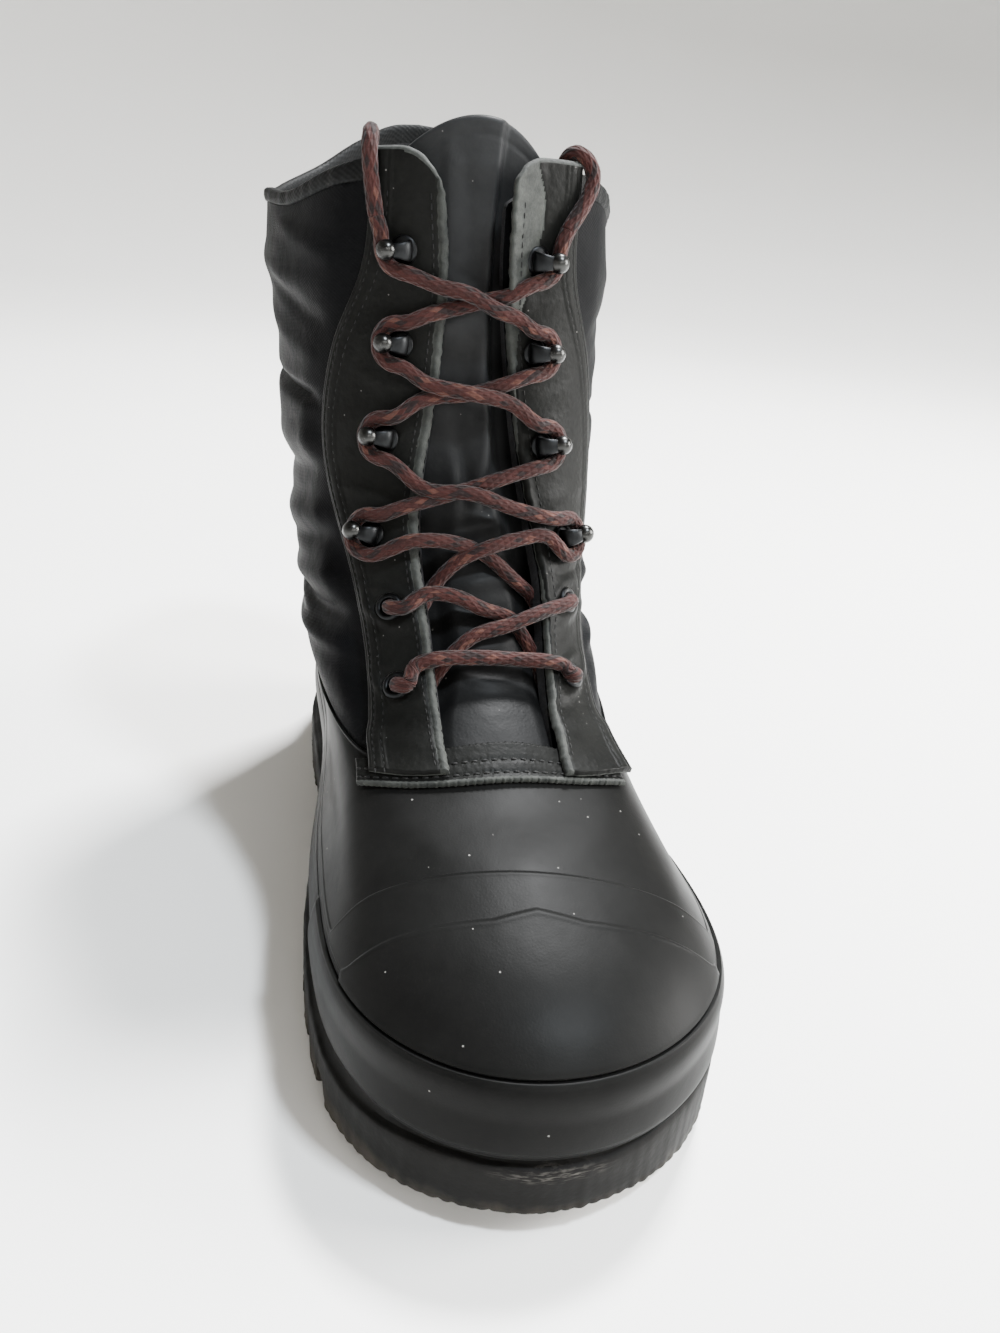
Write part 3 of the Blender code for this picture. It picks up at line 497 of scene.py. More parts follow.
def seat(level, degrees, out):
    """Place on the surface: its point and its axes, X away from the throat and Z outwards."""
    level = np.array(float(level))
    turn = throat_turn(level, degrees)
    point = surface(level, turn, out)
    away = surface(level, turn + math.copysign(0.02, degrees), out) - point
    normal = outward(level, turn)
    y_axis = unit(np.cross(normal, unit(away)))
    return point, np.array([np.cross(y_axis, normal), y_axis, normal])


def seated(local, place):
    """Local millimetres at a seat, as points of the model."""
    point, axes = place
    return point + (local * MM) @ axes


def length_along(points):
    """Length from the first point of a path to each of its points."""
    return np.concatenate([[0.0], np.cumsum(np.linalg.norm(np.diff(points, axis=0), axis=1))])


def even_path(points, spacing):
    """Points spread evenly, spacing metres apart, along a smooth curve through a route."""
    points = np.array(points, float)
    knots = length_along(points)
    fine = smooth_table(knots, points, np.linspace(0, knots[-1], 40 * len(points)))
    length = length_along(fine)
    count = int(round(length[-1] / spacing)) + 1
    even = np.linspace(0, length[-1], count)
    return np.stack([np.interp(even, length, fine[:, axis]) for axis in range(3)], -1)


def drawn_taut(path, reach):
    """The path with small bends pulled straight: a running mean with soft weights."""
    weights = bell(np.arange(-2 * reach, 2 * reach + 1) / reach)
    padded = np.pad(path, ((2 * reach, 2 * reach), (0, 0)), mode="edge")
    columns = [np.convolve(padded[:, axis], weights / weights.sum(), "valid") for axis in range(3)]
    smooth = np.stack(columns, -1)
    smooth[0], smooth[-1] = path[0], path[-1]
    return smooth


# ---------------------------------------------------------------- rubber

BUMPER_RELIEF = {0: 0.0, 0.3: 0.5, 1.0: 0.9, 1.5: 0.85, 1.88: 0.60, 1.94: 0.42, 1.962: 0.15,
                 1.978: 0.10, 1.99: 0.2, 2.05: 0.25, 2.2: 0.1, 2.6: 0.0}
FRONT_STEP, REAR_STEP, STEP_BEAD = 1.0, 0.65, 0.08
FRONT_STEP_LEVELS = (0.03, 0.045, 0.045, 0.022)     # start before the line, run, bead, its width
REAR_STEP_LEVELS = (0.022, 0.035, 0.035, 0.018)
FRONT_LINE = (-119.0, -0.13, 3.0)                   # y of the line, shift per x, peak
REAR_LINE = (-104.0, -0.15, 0.0)
HEEL_PATCH = (4.35, 40.0, 0.8)                      # top level, half width in degrees, height
TOE_STRIP = (-62.0, 66.0, 0.95)                     # inner end, outer end, height
SHELL_COLUMNS, INNER_ROWS = 420, 24


def crowded(count, bend):
    """Places from 0 to 1 that crowd towards both ends."""
    even = np.linspace(0, 1, count)
    return even * (1 - bend) + bend * (1 - np.cos(math.pi * even)) / 2


def line_level(turns, line_y, shift_per_x, peak):
    """Level at which each turn meets a line across the toe, y = line_y + shift * x + peak.
    It levels out softly just over the bumper seam."""
    levels = np.linspace(SEAM_LEVEL - 1.0, 4.6, 65)
    grid = ring_point(levels[:, None], turns[None, :])
    x, y = grid[..., 0], grid[..., 1]
    tent = peak * np.clip(1 - np.abs(x + 5.0) / 12.0, 0, None)
    past = y - (line_y + shift_per_x * x + tent)
    found = np.array([np.interp(0.0, past[:, at], levels) for at in range(len(turns))])
    over_seam = found - SEAM_LEVEL - 0.12
    return SEAM_LEVEL + 0.12 + (over_seam + np.hypot(over_seam, 0.25)) / 2


def make_rubber_foot(finishes):
    """Galosh: out(level) is the relief of bumper and groove, plus the two steps of the toe cap
    at their lines, a raised patch at the heel and a thin rolled edge; hollow inside."""
    even = np.linspace(0, 2 * math.pi, SHELL_COLUMNS, endpoint=False)
    turns = even - 0.3 * np.sin(even)
    edge = rubber_edge(turns)
    front = line_level(turns, *FRONT_LINE)
    rear = np.maximum(line_level(turns, *REAR_LINE), front + 0.13)
    front_step = FRONT_STEP * ease((front - SEAM_LEVEL - 0.122) / 0.05)
    rear_step = REAR_STEP * ease((rear - SEAM_LEVEL - 0.252) / 0.03)
    stops = ((1.82, 26), (2.12, 24), (front - 0.10, 20), (front + 0.03, 16), (rear - 0.085, 10),
             (rear + 0.025, 14), (edge - 0.10, 44), (edge, 8))
    rows, before = [0.0 * turns], 0.0 * turns
    for stop, count in stops:
        share = (np.arange(count) + 1)[:, None] / count
        rows.extend(before + (stop - before) * share)
        before = stop + 0.0 * turns
    level = np.array(rows)
    out = read_curve(BUMPER_RELIEF, level)
    out += front_step * ease((level - 1.972) / 0.035)
    for line, drop, step, (start, run, bead, bead_width) in (
            (front, front_step - rear_step, front_step, FRONT_STEP_LEVELS),
            (rear, rear_step, rear_step, REAR_STEP_LEVELS)):
        out -= drop * ease((level - line + start) / run)
        out += STEP_BEAD * step * bell((level - line + bead) / bead_width)
    behind = 180 - np.abs(degrees_from_toe(turns))
    top, half_width, height = HEEL_PATCH
    patch_edge = top - (top - 2.0) * (behind / half_width) ** 2
    out += height * ease((patch_edge - level) / 0.07) * ease((level - 2.0) / 0.05)
    out += 0.5 * ease((level - edge + 0.08) / 0.05)
    out -= 0.7 * ease((level - edge + 0.018) / 0.018)
    out += toe_end_of_bumper(level, turns)
    inner_level = edge * np.linspace(1, 0, INNER_ROWS)[:, None]
    inner_out = -RUBBER_WALL + 0.9 * ease((inner_level - edge + 0.15) / 0.12)
    inner = surface(inner_level, turns, inner_out)
    outer = surface(level, turns, out)
    inner[-1, :, 2] = outer[0, :, 2]
    skin = Skin()
    first = skin.grid(outer, closed=True)
    second = skin.grid(inner, closed=True, finish=1)
    add_rim(skin, first + (len(level) - 1) * SHELL_COLUMNS, second, SHELL_COLUMNS, flip=True)
    add_rim(skin, first, second + (INNER_ROWS - 1) * SHELL_COLUMNS, SHELL_COLUMNS)
    return skin.make("rubber_foot", finishes, 50.0)


def toe_end_of_bumper(level, turns):
    """The toe strip of the bumper is thicker, and ends in an upright step at either side."""
    degrees = degrees_from_toe(turns)
    inner_end, outer_end, height = TOE_STRIP
    beyond = np.maximum(inner_end - degrees, degrees - outer_end)
    strip = ease((level - 0.04) / 0.16) * ease((1.966 - level) / 0.022)
    return strip * (height * ease(-beyond / 0.8) - 0.3 * bell(beyond / 0.5))


SOLE_COLUMNS, TREAD_ROWS, EDGE_TEETH = 960, 70, 78
SKIRT_PROFILE = (               # share of the way from tread to ledge, stand-out, unevenness
    (0.0, 0.2, 0.5), (0.01, 0.9, 0.8), (0.035, 1.6, 1.0), (0.08, 1.9, 1.0), (0.14, 1.8, 0.8),
    (0.20, 1.9, 0.6), (0.30, 2.0, 0.5), (0.42, 2.0, 0.4), (0.55, 2.05, 0.4), (0.68, 2.1, 0.4),
    (0.80, 2.15, 0.4), (0.90, 2.1, 0.4), (0.96, 1.9, 0.4), (0.99, 1.5, 0.3), (1.0, 1.0, 0.2))
RECESS_PROFILE = (              # share of the way from ledge to feather line, level, stand-out
    (0.06, 1.0, 0.4), (0.12, 1.0, -0.1), (0.22, 0.5, -0.9), (0.40, 0.2, -1.9), (0.70, 0.0, -2.0),
    (1.0, 0.0, -1.9))
FOOTBED_COLUMNS = 240
FOOTBED_PROFILE = ((0.0, -4.0), (0.35, -3.6), (0.7, -3.6), (0.88, -3.9), (1.0, -4.8))
DISH_DEPTH = 0.9


def bottom_height(y):
    """Height of the tread over the floor: toe spring, forefoot, arch and heel block."""
    spring = TOE_SPRING * (np.clip(-60.0 - y, 0.0, None) / 98.0) ** 2
    arch = ARCH_RISE * ease((y - ARCH_START) / 26.0) * ease((HEEL_BREAST + 4.0 - y) / 4.0)
    return spring + arch


def tread_height(x, y):
    """Tread with its grooves: a groove is where |y' - y0| < half the gap in axes slanted to the
    side, outside the spine; its walls lean over 1.2 mm.  Fine sipes run across the lugs."""
    low = bottom_height(y)
    height = low + 0.35 * bell(((np.mod(y, 5.0) - 2.5)) / 0.5) * ease((6.0 - low) / 2.0)
    for groove in FOREFOOT_GROOVES + HEEL_GROOVES:
        across = math.cos(GROOVE_SLANT) * (y - groove) - math.sin(GROOVE_SLANT) * np.abs(x)
        inside = ease((LUG_GAP / 2 + 0.6 - np.abs(across)) / 1.2)
        inside = inside * ease((np.abs(x) - SPINE_HALF + 0.6) / 1.2)
        top = float(bottom_height(np.array(groove))) + LUG_DEPTH
        height = height + (np.maximum(top, height) - height) * inside
    return height


def make_outsole(finishes):
    """Outsole: side profile carried round the outline of the shell, with a flared skirt whose
    cut edge is uneven, a ledge, a recess under the bumper, and a tread of lugs below."""
    turns = np.linspace(0, 2 * math.pi, SOLE_COLUMNS, endpoint=False)
    uneven = 0.30 * ripple(turns, (37, 61, 83, 113, 149), 5) + 0.25 * ripple(turns, (7, 11, 17), 6)
    teeth = np.abs(np.sin(turns * EDGE_TEETH + ripple(turns, (9, 23, 31), 8))) ** 0.6
    teeth = 1 - (1 - teeth) * (0.55 + 0.45 * ripple(turns, (13, 29, 43), 9))
    high = ring_point(0.0, turns)[:, 2] - SKIN_GAP
    outline = plan_ring(BUMPER_LEVEL, turns, 1.8)
    low = tread_height(outline[:, 0], outline[:, 1])
    outwards, inwards = np.degrees(turns), np.degrees(np.mod(-turns, 2 * math.pi))
    inner_side = ease((inwards - 14.0) / 34.0) * ease((300.0 - inwards) / 30.0)
    outer_side = ease((outwards - 6.0) / 14.0) * ease((95.0 - outwards) / 30.0)
    ledge = high - 2.3 - 5.1 * inner_side + 2.1 * outer_side
    ledge = ledge + (0.40 + 0.2 * outer_side) * ripple(turns, (5, 9, 23, 41), 7)
    rings = []
    for share, out, rough in SKIRT_PROFILE:
        notch = 0.55 * (1 - teeth) * bell((share - 0.03) / 0.10)
        ring = plan_ring(BUMPER_LEVEL, turns, out + uneven * rough - notch)
        ring[:, 2] = low + (ledge - low) * share + 0.5 * (1 - teeth) * bell(share / 0.05) * 0.6
        rings.append(ring)
    for share, level, out in RECESS_PROFILE:
        ring = plan_ring(level, turns, out + 0.2 * uneven)
        ring[:, 2] = ledge + (high - ledge) * share
        rings.append(ring)
    rings[-1][:, 2] = high
    rings = in_model(np.array(rings))
    skin = Skin()
    first = skin.grid(rings, closed=True)
    add_cap(skin, first, rings[0], TREAD_ROWS, lambda x, y, z: tread_height(x, y), flip=True)
    add_cap(skin, first + (len(rings) - 1) * SOLE_COLUMNS, rings[-1], 6)
    return skin.make("sole_unit", finishes, 40.0)


def make_footbed(finishes):
    """Footbed: outline of the feather line, a rolled side and a dished top."""
    turns = np.linspace(0, 2 * math.pi, FOOTBED_COLUMNS, endpoint=False)
    rings = []
    for share, out in FOOTBED_PROFILE:
        ring = plan_ring(0.0, turns, out)
        ring[:, 2] += share * INSOLE_THICKNESS
        rings.append(in_model(ring))

    def dished(x, y, z):
        return z - DISH_DEPTH * bell(x / 26.0) * bell((y - 92) / 60.0)

    skin = Skin()
    first = skin.grid(np.array(rings), closed=True)
    add_cap(skin, first, rings[0], 12, flip=True)
    add_cap(skin, first + (len(rings) - 1) * FOOTBED_COLUMNS, rings[-1], 30, dished)
    return skin.make("footbed_cloth", finishes, 38.0)


# ---------------------------------------------------------------- nylon shaft

# Creases of the nylon: level, turn in degrees, tilt in degrees, half length, half width and
# height in millimetres (a negative height is a trough), bend in millimetres
SHAFT_CREASES = (
    (5.55, -62, 28, 26, 4.5, 2.2, 3), (5.80, -70, 24, 30, 3.4, -1.8, 3), (6.10, -66, 30, 30, 4.8, 2.4, 4),
    (6.38, -74, 26, 30, 3.6, -1.8, 4), (6.62, -70, 22, 30, 5.0, 2.0, 3), (6.95, -78, 16, 32, 4.0, -1.5, 3),
    (7.20, -72, 12, 30, 5.0, 1.4, 2), (5.60, -100, 8, 26, 4.2, 1.8, -2), (5.95, -112, -6, 28, 3.6, -1.6, -2),
    (6.25, -105, 6, 28, 4.6, 1.8, 2), (6.60, -118, -8, 30, 4.0, -1.6, 2), (7.90, -80, -14, 26, 4.6, 1.3, 2),
    (8.15, -70, -22, 22, 3.6, -1.2, 2), (8.35, -88, -10, 26, 4.4, 1.2, 2), (8.60, -64, -26, 18, 3.6, 1.0, 1),
    (5.50, 66, -26, 26, 4.4, 2.0, -3), (5.85, 72, -22, 28, 3.6, -1.7, -3), (6.15, 66, -28, 28, 4.6, 2.0, -3),
    (6.50, 74, -20, 30, 3.8, -1.6, -3), (6.85, 70, -14, 30, 4.6, 1.5, -2), (5.70, 104, -6, 28, 4.2, 1.6, 2),
    (6.05, 112, 4, 30, 3.6, -1.6, 2), (6.40, 106, -4, 30, 4.6, 1.7, -2), (7.95, 78, 12, 26, 4.4, 1.2, -2),
    (8.25, 70, 18, 24, 3.6, -1.1, -2), (8.50, 84, 8, 24, 4.2, 1.0, 2), (5.75, 165, 4, 34, 4.4, 1.4, 2),
    (6.10, 178, -4, 38, 3.8, -1.8, 3), (6.45, 170, 5, 36, 4.8, 1.8, -3), (6.85, 186, -6, 36, 4.0, -1.5, 3),
    (7.25, 176, 4, 34, 4.6, 1.2, 2), (8.10, 168, -6, 34, 4.4, 1.0, -2), (8.40, 190, 6, 30, 4.0, -0.9, 2),
)
MM_PER_LEVEL, MM_PER_DEGREE = 48.0, 0.93
SHAFT_COLUMNS, SHAFT_LOW_ROWS, SHAFT_HIGH_ROWS = 300, 96, 50
SHAFT_FOOT, TAPE_START = 5.0, 8.88
CLOTH_GIRTH = 0.29                          # metres of cloth round the shaft, for its weave
# The rows of the collar tape and how far it rolls out at each; then the depth of the lining
TAPE_ROLL = {8.883: -0.2, 8.89: 0.6, 8.90: 0.9, 8.92: 1.0, 8.94: 1.1, 8.96: 1.0, 8.98: 0.9,
             8.99: 0.5, 9.0: -0.2}
LINING_DEPTH = {5.0: 3.9, 8.80: 3.0, 8.90: 3.3, 8.96: 3.2, 8.985: 2.8, 9.0: 2.0}


def creases(table, level, degrees):
    """Sum of soft ridges and troughs: height * exp(-(across / width)^2) * exp(-(along /
    length)^4), along and across turned by the tilt, across bowed by bend * (along / length)^2."""
    total = 0.0 * level
    for at_level, at_degrees, tilt, length, width, height, bend in table:
        right = (np.mod(degrees - at_degrees + 180.0, 360.0) - 180.0) * MM_PER_DEGREE
        up = (level - at_level) * MM_PER_LEVEL
        turned = math.radians(tilt)
        along = (right * math.cos(turned) + up * math.sin(turned)) / length
        across = up * math.cos(turned) - right * math.sin(turned) - bend * along ** 2
        total = total + height * bell(across / width) * np.exp(-along ** 4)
    return total


def edge_dip(level, degrees):
    """How far the edge of the throat is pressed in by the lace, in millimetres."""
    inside = np.clip(np.abs(degrees) - throat_half(level), 0, None)
    return 1.2 * np.exp(-inside / 6.0) * ease((level - 6.45) / 0.3) * ease((8.75 - level) / 0.3)


def shaft_turns(level, share):
    """Turns of the shaft's columns, from one edge of the throat round the back to the other,
    with the upper corners cut back."""
    edges = []
    for side in ("lateral", "medial"):
        cut, low_end, rise = CORNER_CUT[side]
        back = SIDES[side] * cut * ease((level - low_end) / rise)
        edges.append(throat_turn(level, throat_edge(level, side) + back))
    return edges[0] + (2 * math.pi + edges[1] - edges[0]) * share


def shaft_relief(rough, level, bottom, turns):
    """How far the nylon stands out: a puff between the seams and the creases, pressed in at the
    quilt seam, bare of both under the leather and tucked in at the foot; then the rolled tape."""
    off = off_throat(level, turns)
    bare = ease((np.abs(off) - facing_half(level) - 1.0) / 12.0)
    seam = bell((level - QUILT_LEVEL) / 0.045)
    puff = 1.0 + 0.9 * np.sin((level - SHAFT_FOOT) * 2 * math.pi / 1.05)
    folds = creases(SHAFT_CREASES, level, np.degrees(turns))
    tuck = ease((level - bottom - 0.02) / 0.22)
    out = (puff * tuck + folds * ease((8.86 - rough) / 0.15)) * (1 - seam) - 1.6 * seam
    out = out * bare - 0.9 * (1 - tuck)
    tape = slice(-len(TAPE_ROLL), None)
    roll = np.array(list(TAPE_ROLL.values()))[:, None]
    wave = 1 + 0.25 * ripple(turns[tape], (31, 47, 71), 11)
    out[tape] = roll * wave * np.maximum(bare[tape], 0.15)
    return out


def make_shaft(finishes):
    """Padded nylon: puffs between seams, listed creases, a quilt seam at one level and a
    bound collar; felt lining inside.  Open at the collar and down the throat."""
    low = np.linspace(0, 1, SHAFT_LOW_ROWS)[:, None] ** 0.92
    high = np.linspace(0, 1, SHAFT_HIGH_ROWS)[1:, None]
    share = np.linspace(0, 1, SHAFT_COLUMNS)[None, :]
    rough = np.concatenate([SHAFT_FOOT + (QUILT_LEVEL - SHAFT_FOOT) * low,
                            QUILT_LEVEL + (TAPE_START - QUILT_LEVEL) * high,
                            np.array(list(TAPE_ROLL))[:, None]])
    turns = shaft_turns(rough, share)
    bottom = rubber_edge(turns) - 0.09
    level = bottom + (rough - SHAFT_FOOT) / (TOP_LEVEL - SHAFT_FOOT) * (TOP_LEVEL - bottom)
    blend = ease((rough - SHAFT_FOOT) / 1.6)
    level = level * (1 - blend) + np.maximum(rough, bottom) * blend
    rim_dip = read_curve(RIM_DIP, np.abs(degrees_from_toe(turns)))
    level = level - rim_dip * ease((rough - 7.8) / 1.2)
    dip = edge_dip(level, off_throat(level, turns))
    outer = surface(level, turns, shaft_relief(rough, level, bottom, turns) - dip)
    inner = surface(level, turns, -read_line(LINING_DEPTH, rough) - dip)[::-1]
    loop = np.concatenate([outer, inner])
    finish = np.zeros((len(loop) - 1, SHAFT_COLUMNS - 1), int)
    below_tape = len(level) - len(TAPE_ROLL) - 1
    finish[below_tape:] = 1
    finish[len(loop) - 1 - below_tape:] = 2
    around = np.cumsum(np.linalg.norm(np.diff(loop, axis=0, prepend=loop[:1]), axis=2), axis=0)
    across = (share - 0.5) * CLOTH_GIRTH
    skin = Skin()
    first = skin.grid(loop, uv=(across, around), finish=finish)
    rows = len(loop)
    last = first + (rows - 1) * SHAFT_COLUMNS
    foot = np.arange(SHAFT_COLUMNS - 1)
    skin.add_faces(np.stack([last + foot, last + foot + 1, first + foot + 1, first + foot], -1),
                   finish=2)
    lower = np.arange(rows // 2 - 1)
    upper = rows - 1 - lower
    for column, turned in ((0, False), (SHAFT_COLUMNS - 1, True)):
        corners = [first + row * SHAFT_COLUMNS + column for row in (lower, upper, upper - 1, lower + 1)]
        skin.add_faces(np.stack(corners, -1), finish=2, flip=turned)
    return skin.make("shaft_cloth", finishes, 60.0)


# ---------------------------------------------------------------- leather

FACING_CREASES = (
    (6.15, -34, 10, 9, 2.4, 0.7, 1), (6.42, -32, 8, 10, 1.6, -0.6, 1), (7.05, -34, -6, 9, 2.6, 0.6, -1),
    (6.10, 36, -12, 9, 2.4, 0.7, 1), (6.46, 35, -8, 10, 1.6, -0.6, 1), (7.08, 34, 6, 9, 2.6, 0.6, -1),
    (7.75, -26, -10, 8, 2.0, 0.45, 1), (7.72, 25, 10, 8, 2.0, 0.45, 1), (8.26, 21, 6, 7, 2.0, 0.4, 1),
)
CURL = {"medial": 0.4, "lateral": 4.8}      # how far the upper throat edge turns out
CURL_WIDTH = 11.0
EDGE_WIDTH = {
    "medial": {5.0: 2.4, 9.0: 2.2},
    "lateral": {5.0: 2.4, 8.0: 2.6, 8.2: 4.0, 8.45: 7.5, 8.65: 10.0, 8.85: 10.0, 9.0: 7.0},
}
UPPER_CORNER = {"medial": (0.60, 0.32), "lateral": (0.45, 0.17)}    # share of the width, levels
FACING_COLUMNS, FACING_ROWS = 70, 240
FACING_CREASE_SHARE = 0.8
SEAM_ROWS = (2.4, 5.2)                      # threads of the outer seam, from the leather's edge


def facing_lift(level, turn):
    """How far the leather stands off the last: over strip and rubber, then down to the nylon."""
    over_rubber = 1 - ease((level - rubber_edge(turn) - 0.05) / 0.35)
    return FACING_GAP + (LEATHER + SKIN_GAP) * over_rubber


def fastening_relief(level, degrees, side):
    """Leather domed round each eyelet and pressed in under each hook, by the distance in mm."""
    relief = 0.0 * level
    for table, ring, centre in ((EYELETS, 0.75, -0.5), (HOOKS, 0.15, -0.45)):
        for at_level, beside in table.values():
            right = (np.abs(degrees) - beside[side]) * MM_PER_DEGREE
            away = np.hypot(right, (level - at_level) * MM_PER_LEVEL)
            relief += ring * bell((away - 7.0) / 2.3) + centre * bell(away / 3.6)
    return relief


def throat_curl(level, from_throat, side):
    """How far the upper throat edge stands out: height * (1 - distance / width) ^ 1.6."""
    near = np.clip(1 - from_throat / CURL_WIDTH, 0, 1)
    return CURL[side] * near ** 1.6 * ease((level - 8.05) / 0.4)


def make_facing(side, finishes):
    """Facing beside the throat: a leather sheet on the surface with a rounded upper corner, a
    rolled bead along the throat, a raised seam along its outer edge and a rounded rim."""
    sign = SIDES[side]
    across, up = crowded(FACING_COLUMNS, 0.7)[None, :], crowded(FACING_ROWS, 0.4)[:, None]
    wide, tall = UPPER_CORNER[side]
    corner = np.clip(1 - across / wide, 0, 1)
    top = TOP_LEVEL + 0.05 - tall * (1 - np.sqrt(1 - corner ** 2))
    bottom = strip_edge(throat_turn(5.0, sign * (21.0 + 24.0 * across))) + 0.10
    level = bottom + (top - bottom) * up
    inner, outer = sign * throat_edge(level, side), facing_half(level)
    inner = inner + 0.35 * ripple(level * 6, (3, 7, 11, 17), 21 + int(sign))
    degrees = sign * (inner + (outer - inner) * across)
    turns = throat_turn(level, degrees)
    width = (outer - inner) * MM_PER_DEGREE
    from_throat, from_seam = across * width, (1 - across) * width
    from_top, from_foot = (top - level) * MM_PER_LEVEL, (level - bottom) * MM_PER_LEVEL
    nearest = np.minimum(np.minimum(from_throat, from_seam), np.minimum(from_top, from_foot))
    rounded = rounded_edge(nearest, 1.1)
    thick = LEATHER * (0.3 + 0.7 * rounded)
    edge_width = read_curve(EDGE_WIDTH[side], level)
    bead = 0.40 * bell((from_throat - 1.2) / 1.1) - 0.35 * bell((from_throat - edge_width) / 0.35)
    seam = 0.45 * ease((from_seam - 1.2) / 0.8) * ease((6.4 - from_seam) / 0.9)
    seam -= sum(0.3 * bell((from_seam - row) / 0.4) for row in SEAM_ROWS)
    curl = throat_curl(level, from_throat, side)
    base = (facing_lift(level, turns) + curl - edge_dip(level, degrees)
            + creases(FACING_CREASES, level, degrees) * FACING_CREASE_SHARE)
    fine = rounded * (bead + seam + fastening_relief(level, degrees, side))
    front = surface(level, turns, base + thick + fine)
    back = surface(level, turns, base)
    raw = (from_throat < edge_width) | (from_top < 1.6)
    finish = np.where(raw, 1, 0)[:-1, :-1]
    skin = Skin()
    places = (degrees * MM_PER_DEGREE * MM, level * MM_PER_LEVEL * MM)
    add_sheet(skin, front, back, flip=sign < 0, uv=places, finish=finish, rim_finish=1,
              back_finish=2)
    return skin.make("facing_" + side, finishes, 60.0)


STRIP_ENDS = (-50.0, 44.0)                  # degrees from the toe
STRIP_COLUMNS, STRIP_ROWS = 220, 26
STRIP_HEIGHT, STRIP_THICKNESS = 0.34, 1.6   # levels, millimetres
THREAD_ROWS = (3.6, 9.0)                    # threads of the strip, over its lower edge


def make_strip(finishes):
    """Leather strip across the vamp, under the feet of the facings, with an uneven lower cut."""
    turns = np.radians(np.linspace(*STRIP_ENDS, STRIP_COLUMNS))[None, :]
    share = crowded(STRIP_ROWS, 0.6)[:, None]
    low = strip_edge(turns) + 0.012 * ripple(turns * 60, (3, 5, 9, 14), 31)
    level = low + STRIP_HEIGHT * share
    ends = np.minimum(turns - turns.min(), turns.max() - turns) * 50
    nearest = np.minimum(np.minimum(share, 1 - share) * STRIP_HEIGHT * MM_PER_LEVEL, ends)
    rounded = rounded_edge(nearest, 0.9)
    up = share * STRIP_HEIGHT * MM_PER_LEVEL
    rows = sum(bell((up - row) / 0.6) for row in THREAD_ROWS)
    thick = STRIP_THICKNESS * (0.25 + 0.75 * rounded)
    front = surface(level, turns, FACING_GAP + thick - 0.35 * rows)
    back = surface(level, turns, FACING_GAP + 0.0 * level)
    skin = Skin()
    finish = np.broadcast_to(np.where(up[:-1] < 1.3, 1, 0), (STRIP_ROWS - 1, STRIP_COLUMNS - 1))
    add_sheet(skin, front, back, finish=finish, rim_finish=1, back_finish=2)
    return skin.make("strip_leather", finishes, 60.0)


TONGUE_CROWN = {5.1: 0.0, 5.35: 0.9, 5.55: 2.2, 5.8: 4.4, 6.0: 5.2, 6.8: 4.6, 7.2: 3.0, 7.6: 2.4,
                8.2: 2.8, 8.9: 4.4, 9.3: 5.4}
TONGUE_WING = {
    "medial": {5.1: 0.9, 5.35: 2.6, 5.6: 5.4, 5.9: 7.6, 6.6: 7.6, 7.0: 4.7, 8.6: 4.7, 9.3: 5.4},
    "lateral": {5.1: 2.5, 5.4: 4.6, 5.7: 7.0, 6.0: 8.0, 9.3: 8.4},
}
WING_START = {                  # share of the way from the middle of the throat to its edge
    "medial": {5.1: 0.84, 5.5: 0.78, 5.8: 0.62, 6.7: 0.62, 7.1: 0.88, 9.3: 0.88},
    "lateral": {5.1: 0.78, 5.5: 0.72, 6.2: 0.55, 8.7: 0.46, 8.95: 0.60, 9.3: 0.85},
}
WING_SOFTNESS = {"medial": 0.38, "lateral": 0.62}
TONGUE_COLUMNS, TONGUE_ROWS = 110, 210
TONGUE_CREASES = (              # level, degrees off the throat, then as the shaft's
    (7.40, 4, 80, 19, 3.0, 2.0, 2), (7.36, -4, 98, 16, 2.6, -1.1, 1), (7.10, -8, 84, 12, 2.6, 1.2, 1),
    (6.93, 2, 4, 13, 2.6, 1.7, -2), (6.74, 0, -5, 12, 2.2, -1.3, 1), (6.56, 2, 5, 12, 2.6, 1.5, -1),
    (6.36, -2, -6, 11, 2.0, -1.1, 1), (6.10, 2, 4, 12, 2.8, 1.2, 1), (7.66, 1, -12, 10, 2.2, -1.0, 1),
    (7.92, 3, 82, 11, 3.0, 1.3, 1), (8.58, 6, 86, 20, 3.4, 1.5, 1), (8.74, -4, 94, 16, 3.2, -0.9, 1),
    (8.14, -6, 24, 10, 2.2, 0.9, 1), (5.84, -4, -14, 10, 2.4, 0.7, 1), (8.98, 1, 6, 14, 2.6, 0.5, 2),
    (7.22, 7, 66, 10, 2.0, -1.0, 1), (8.35, 2, -16, 11, 2.0, -0.6, 1),
)


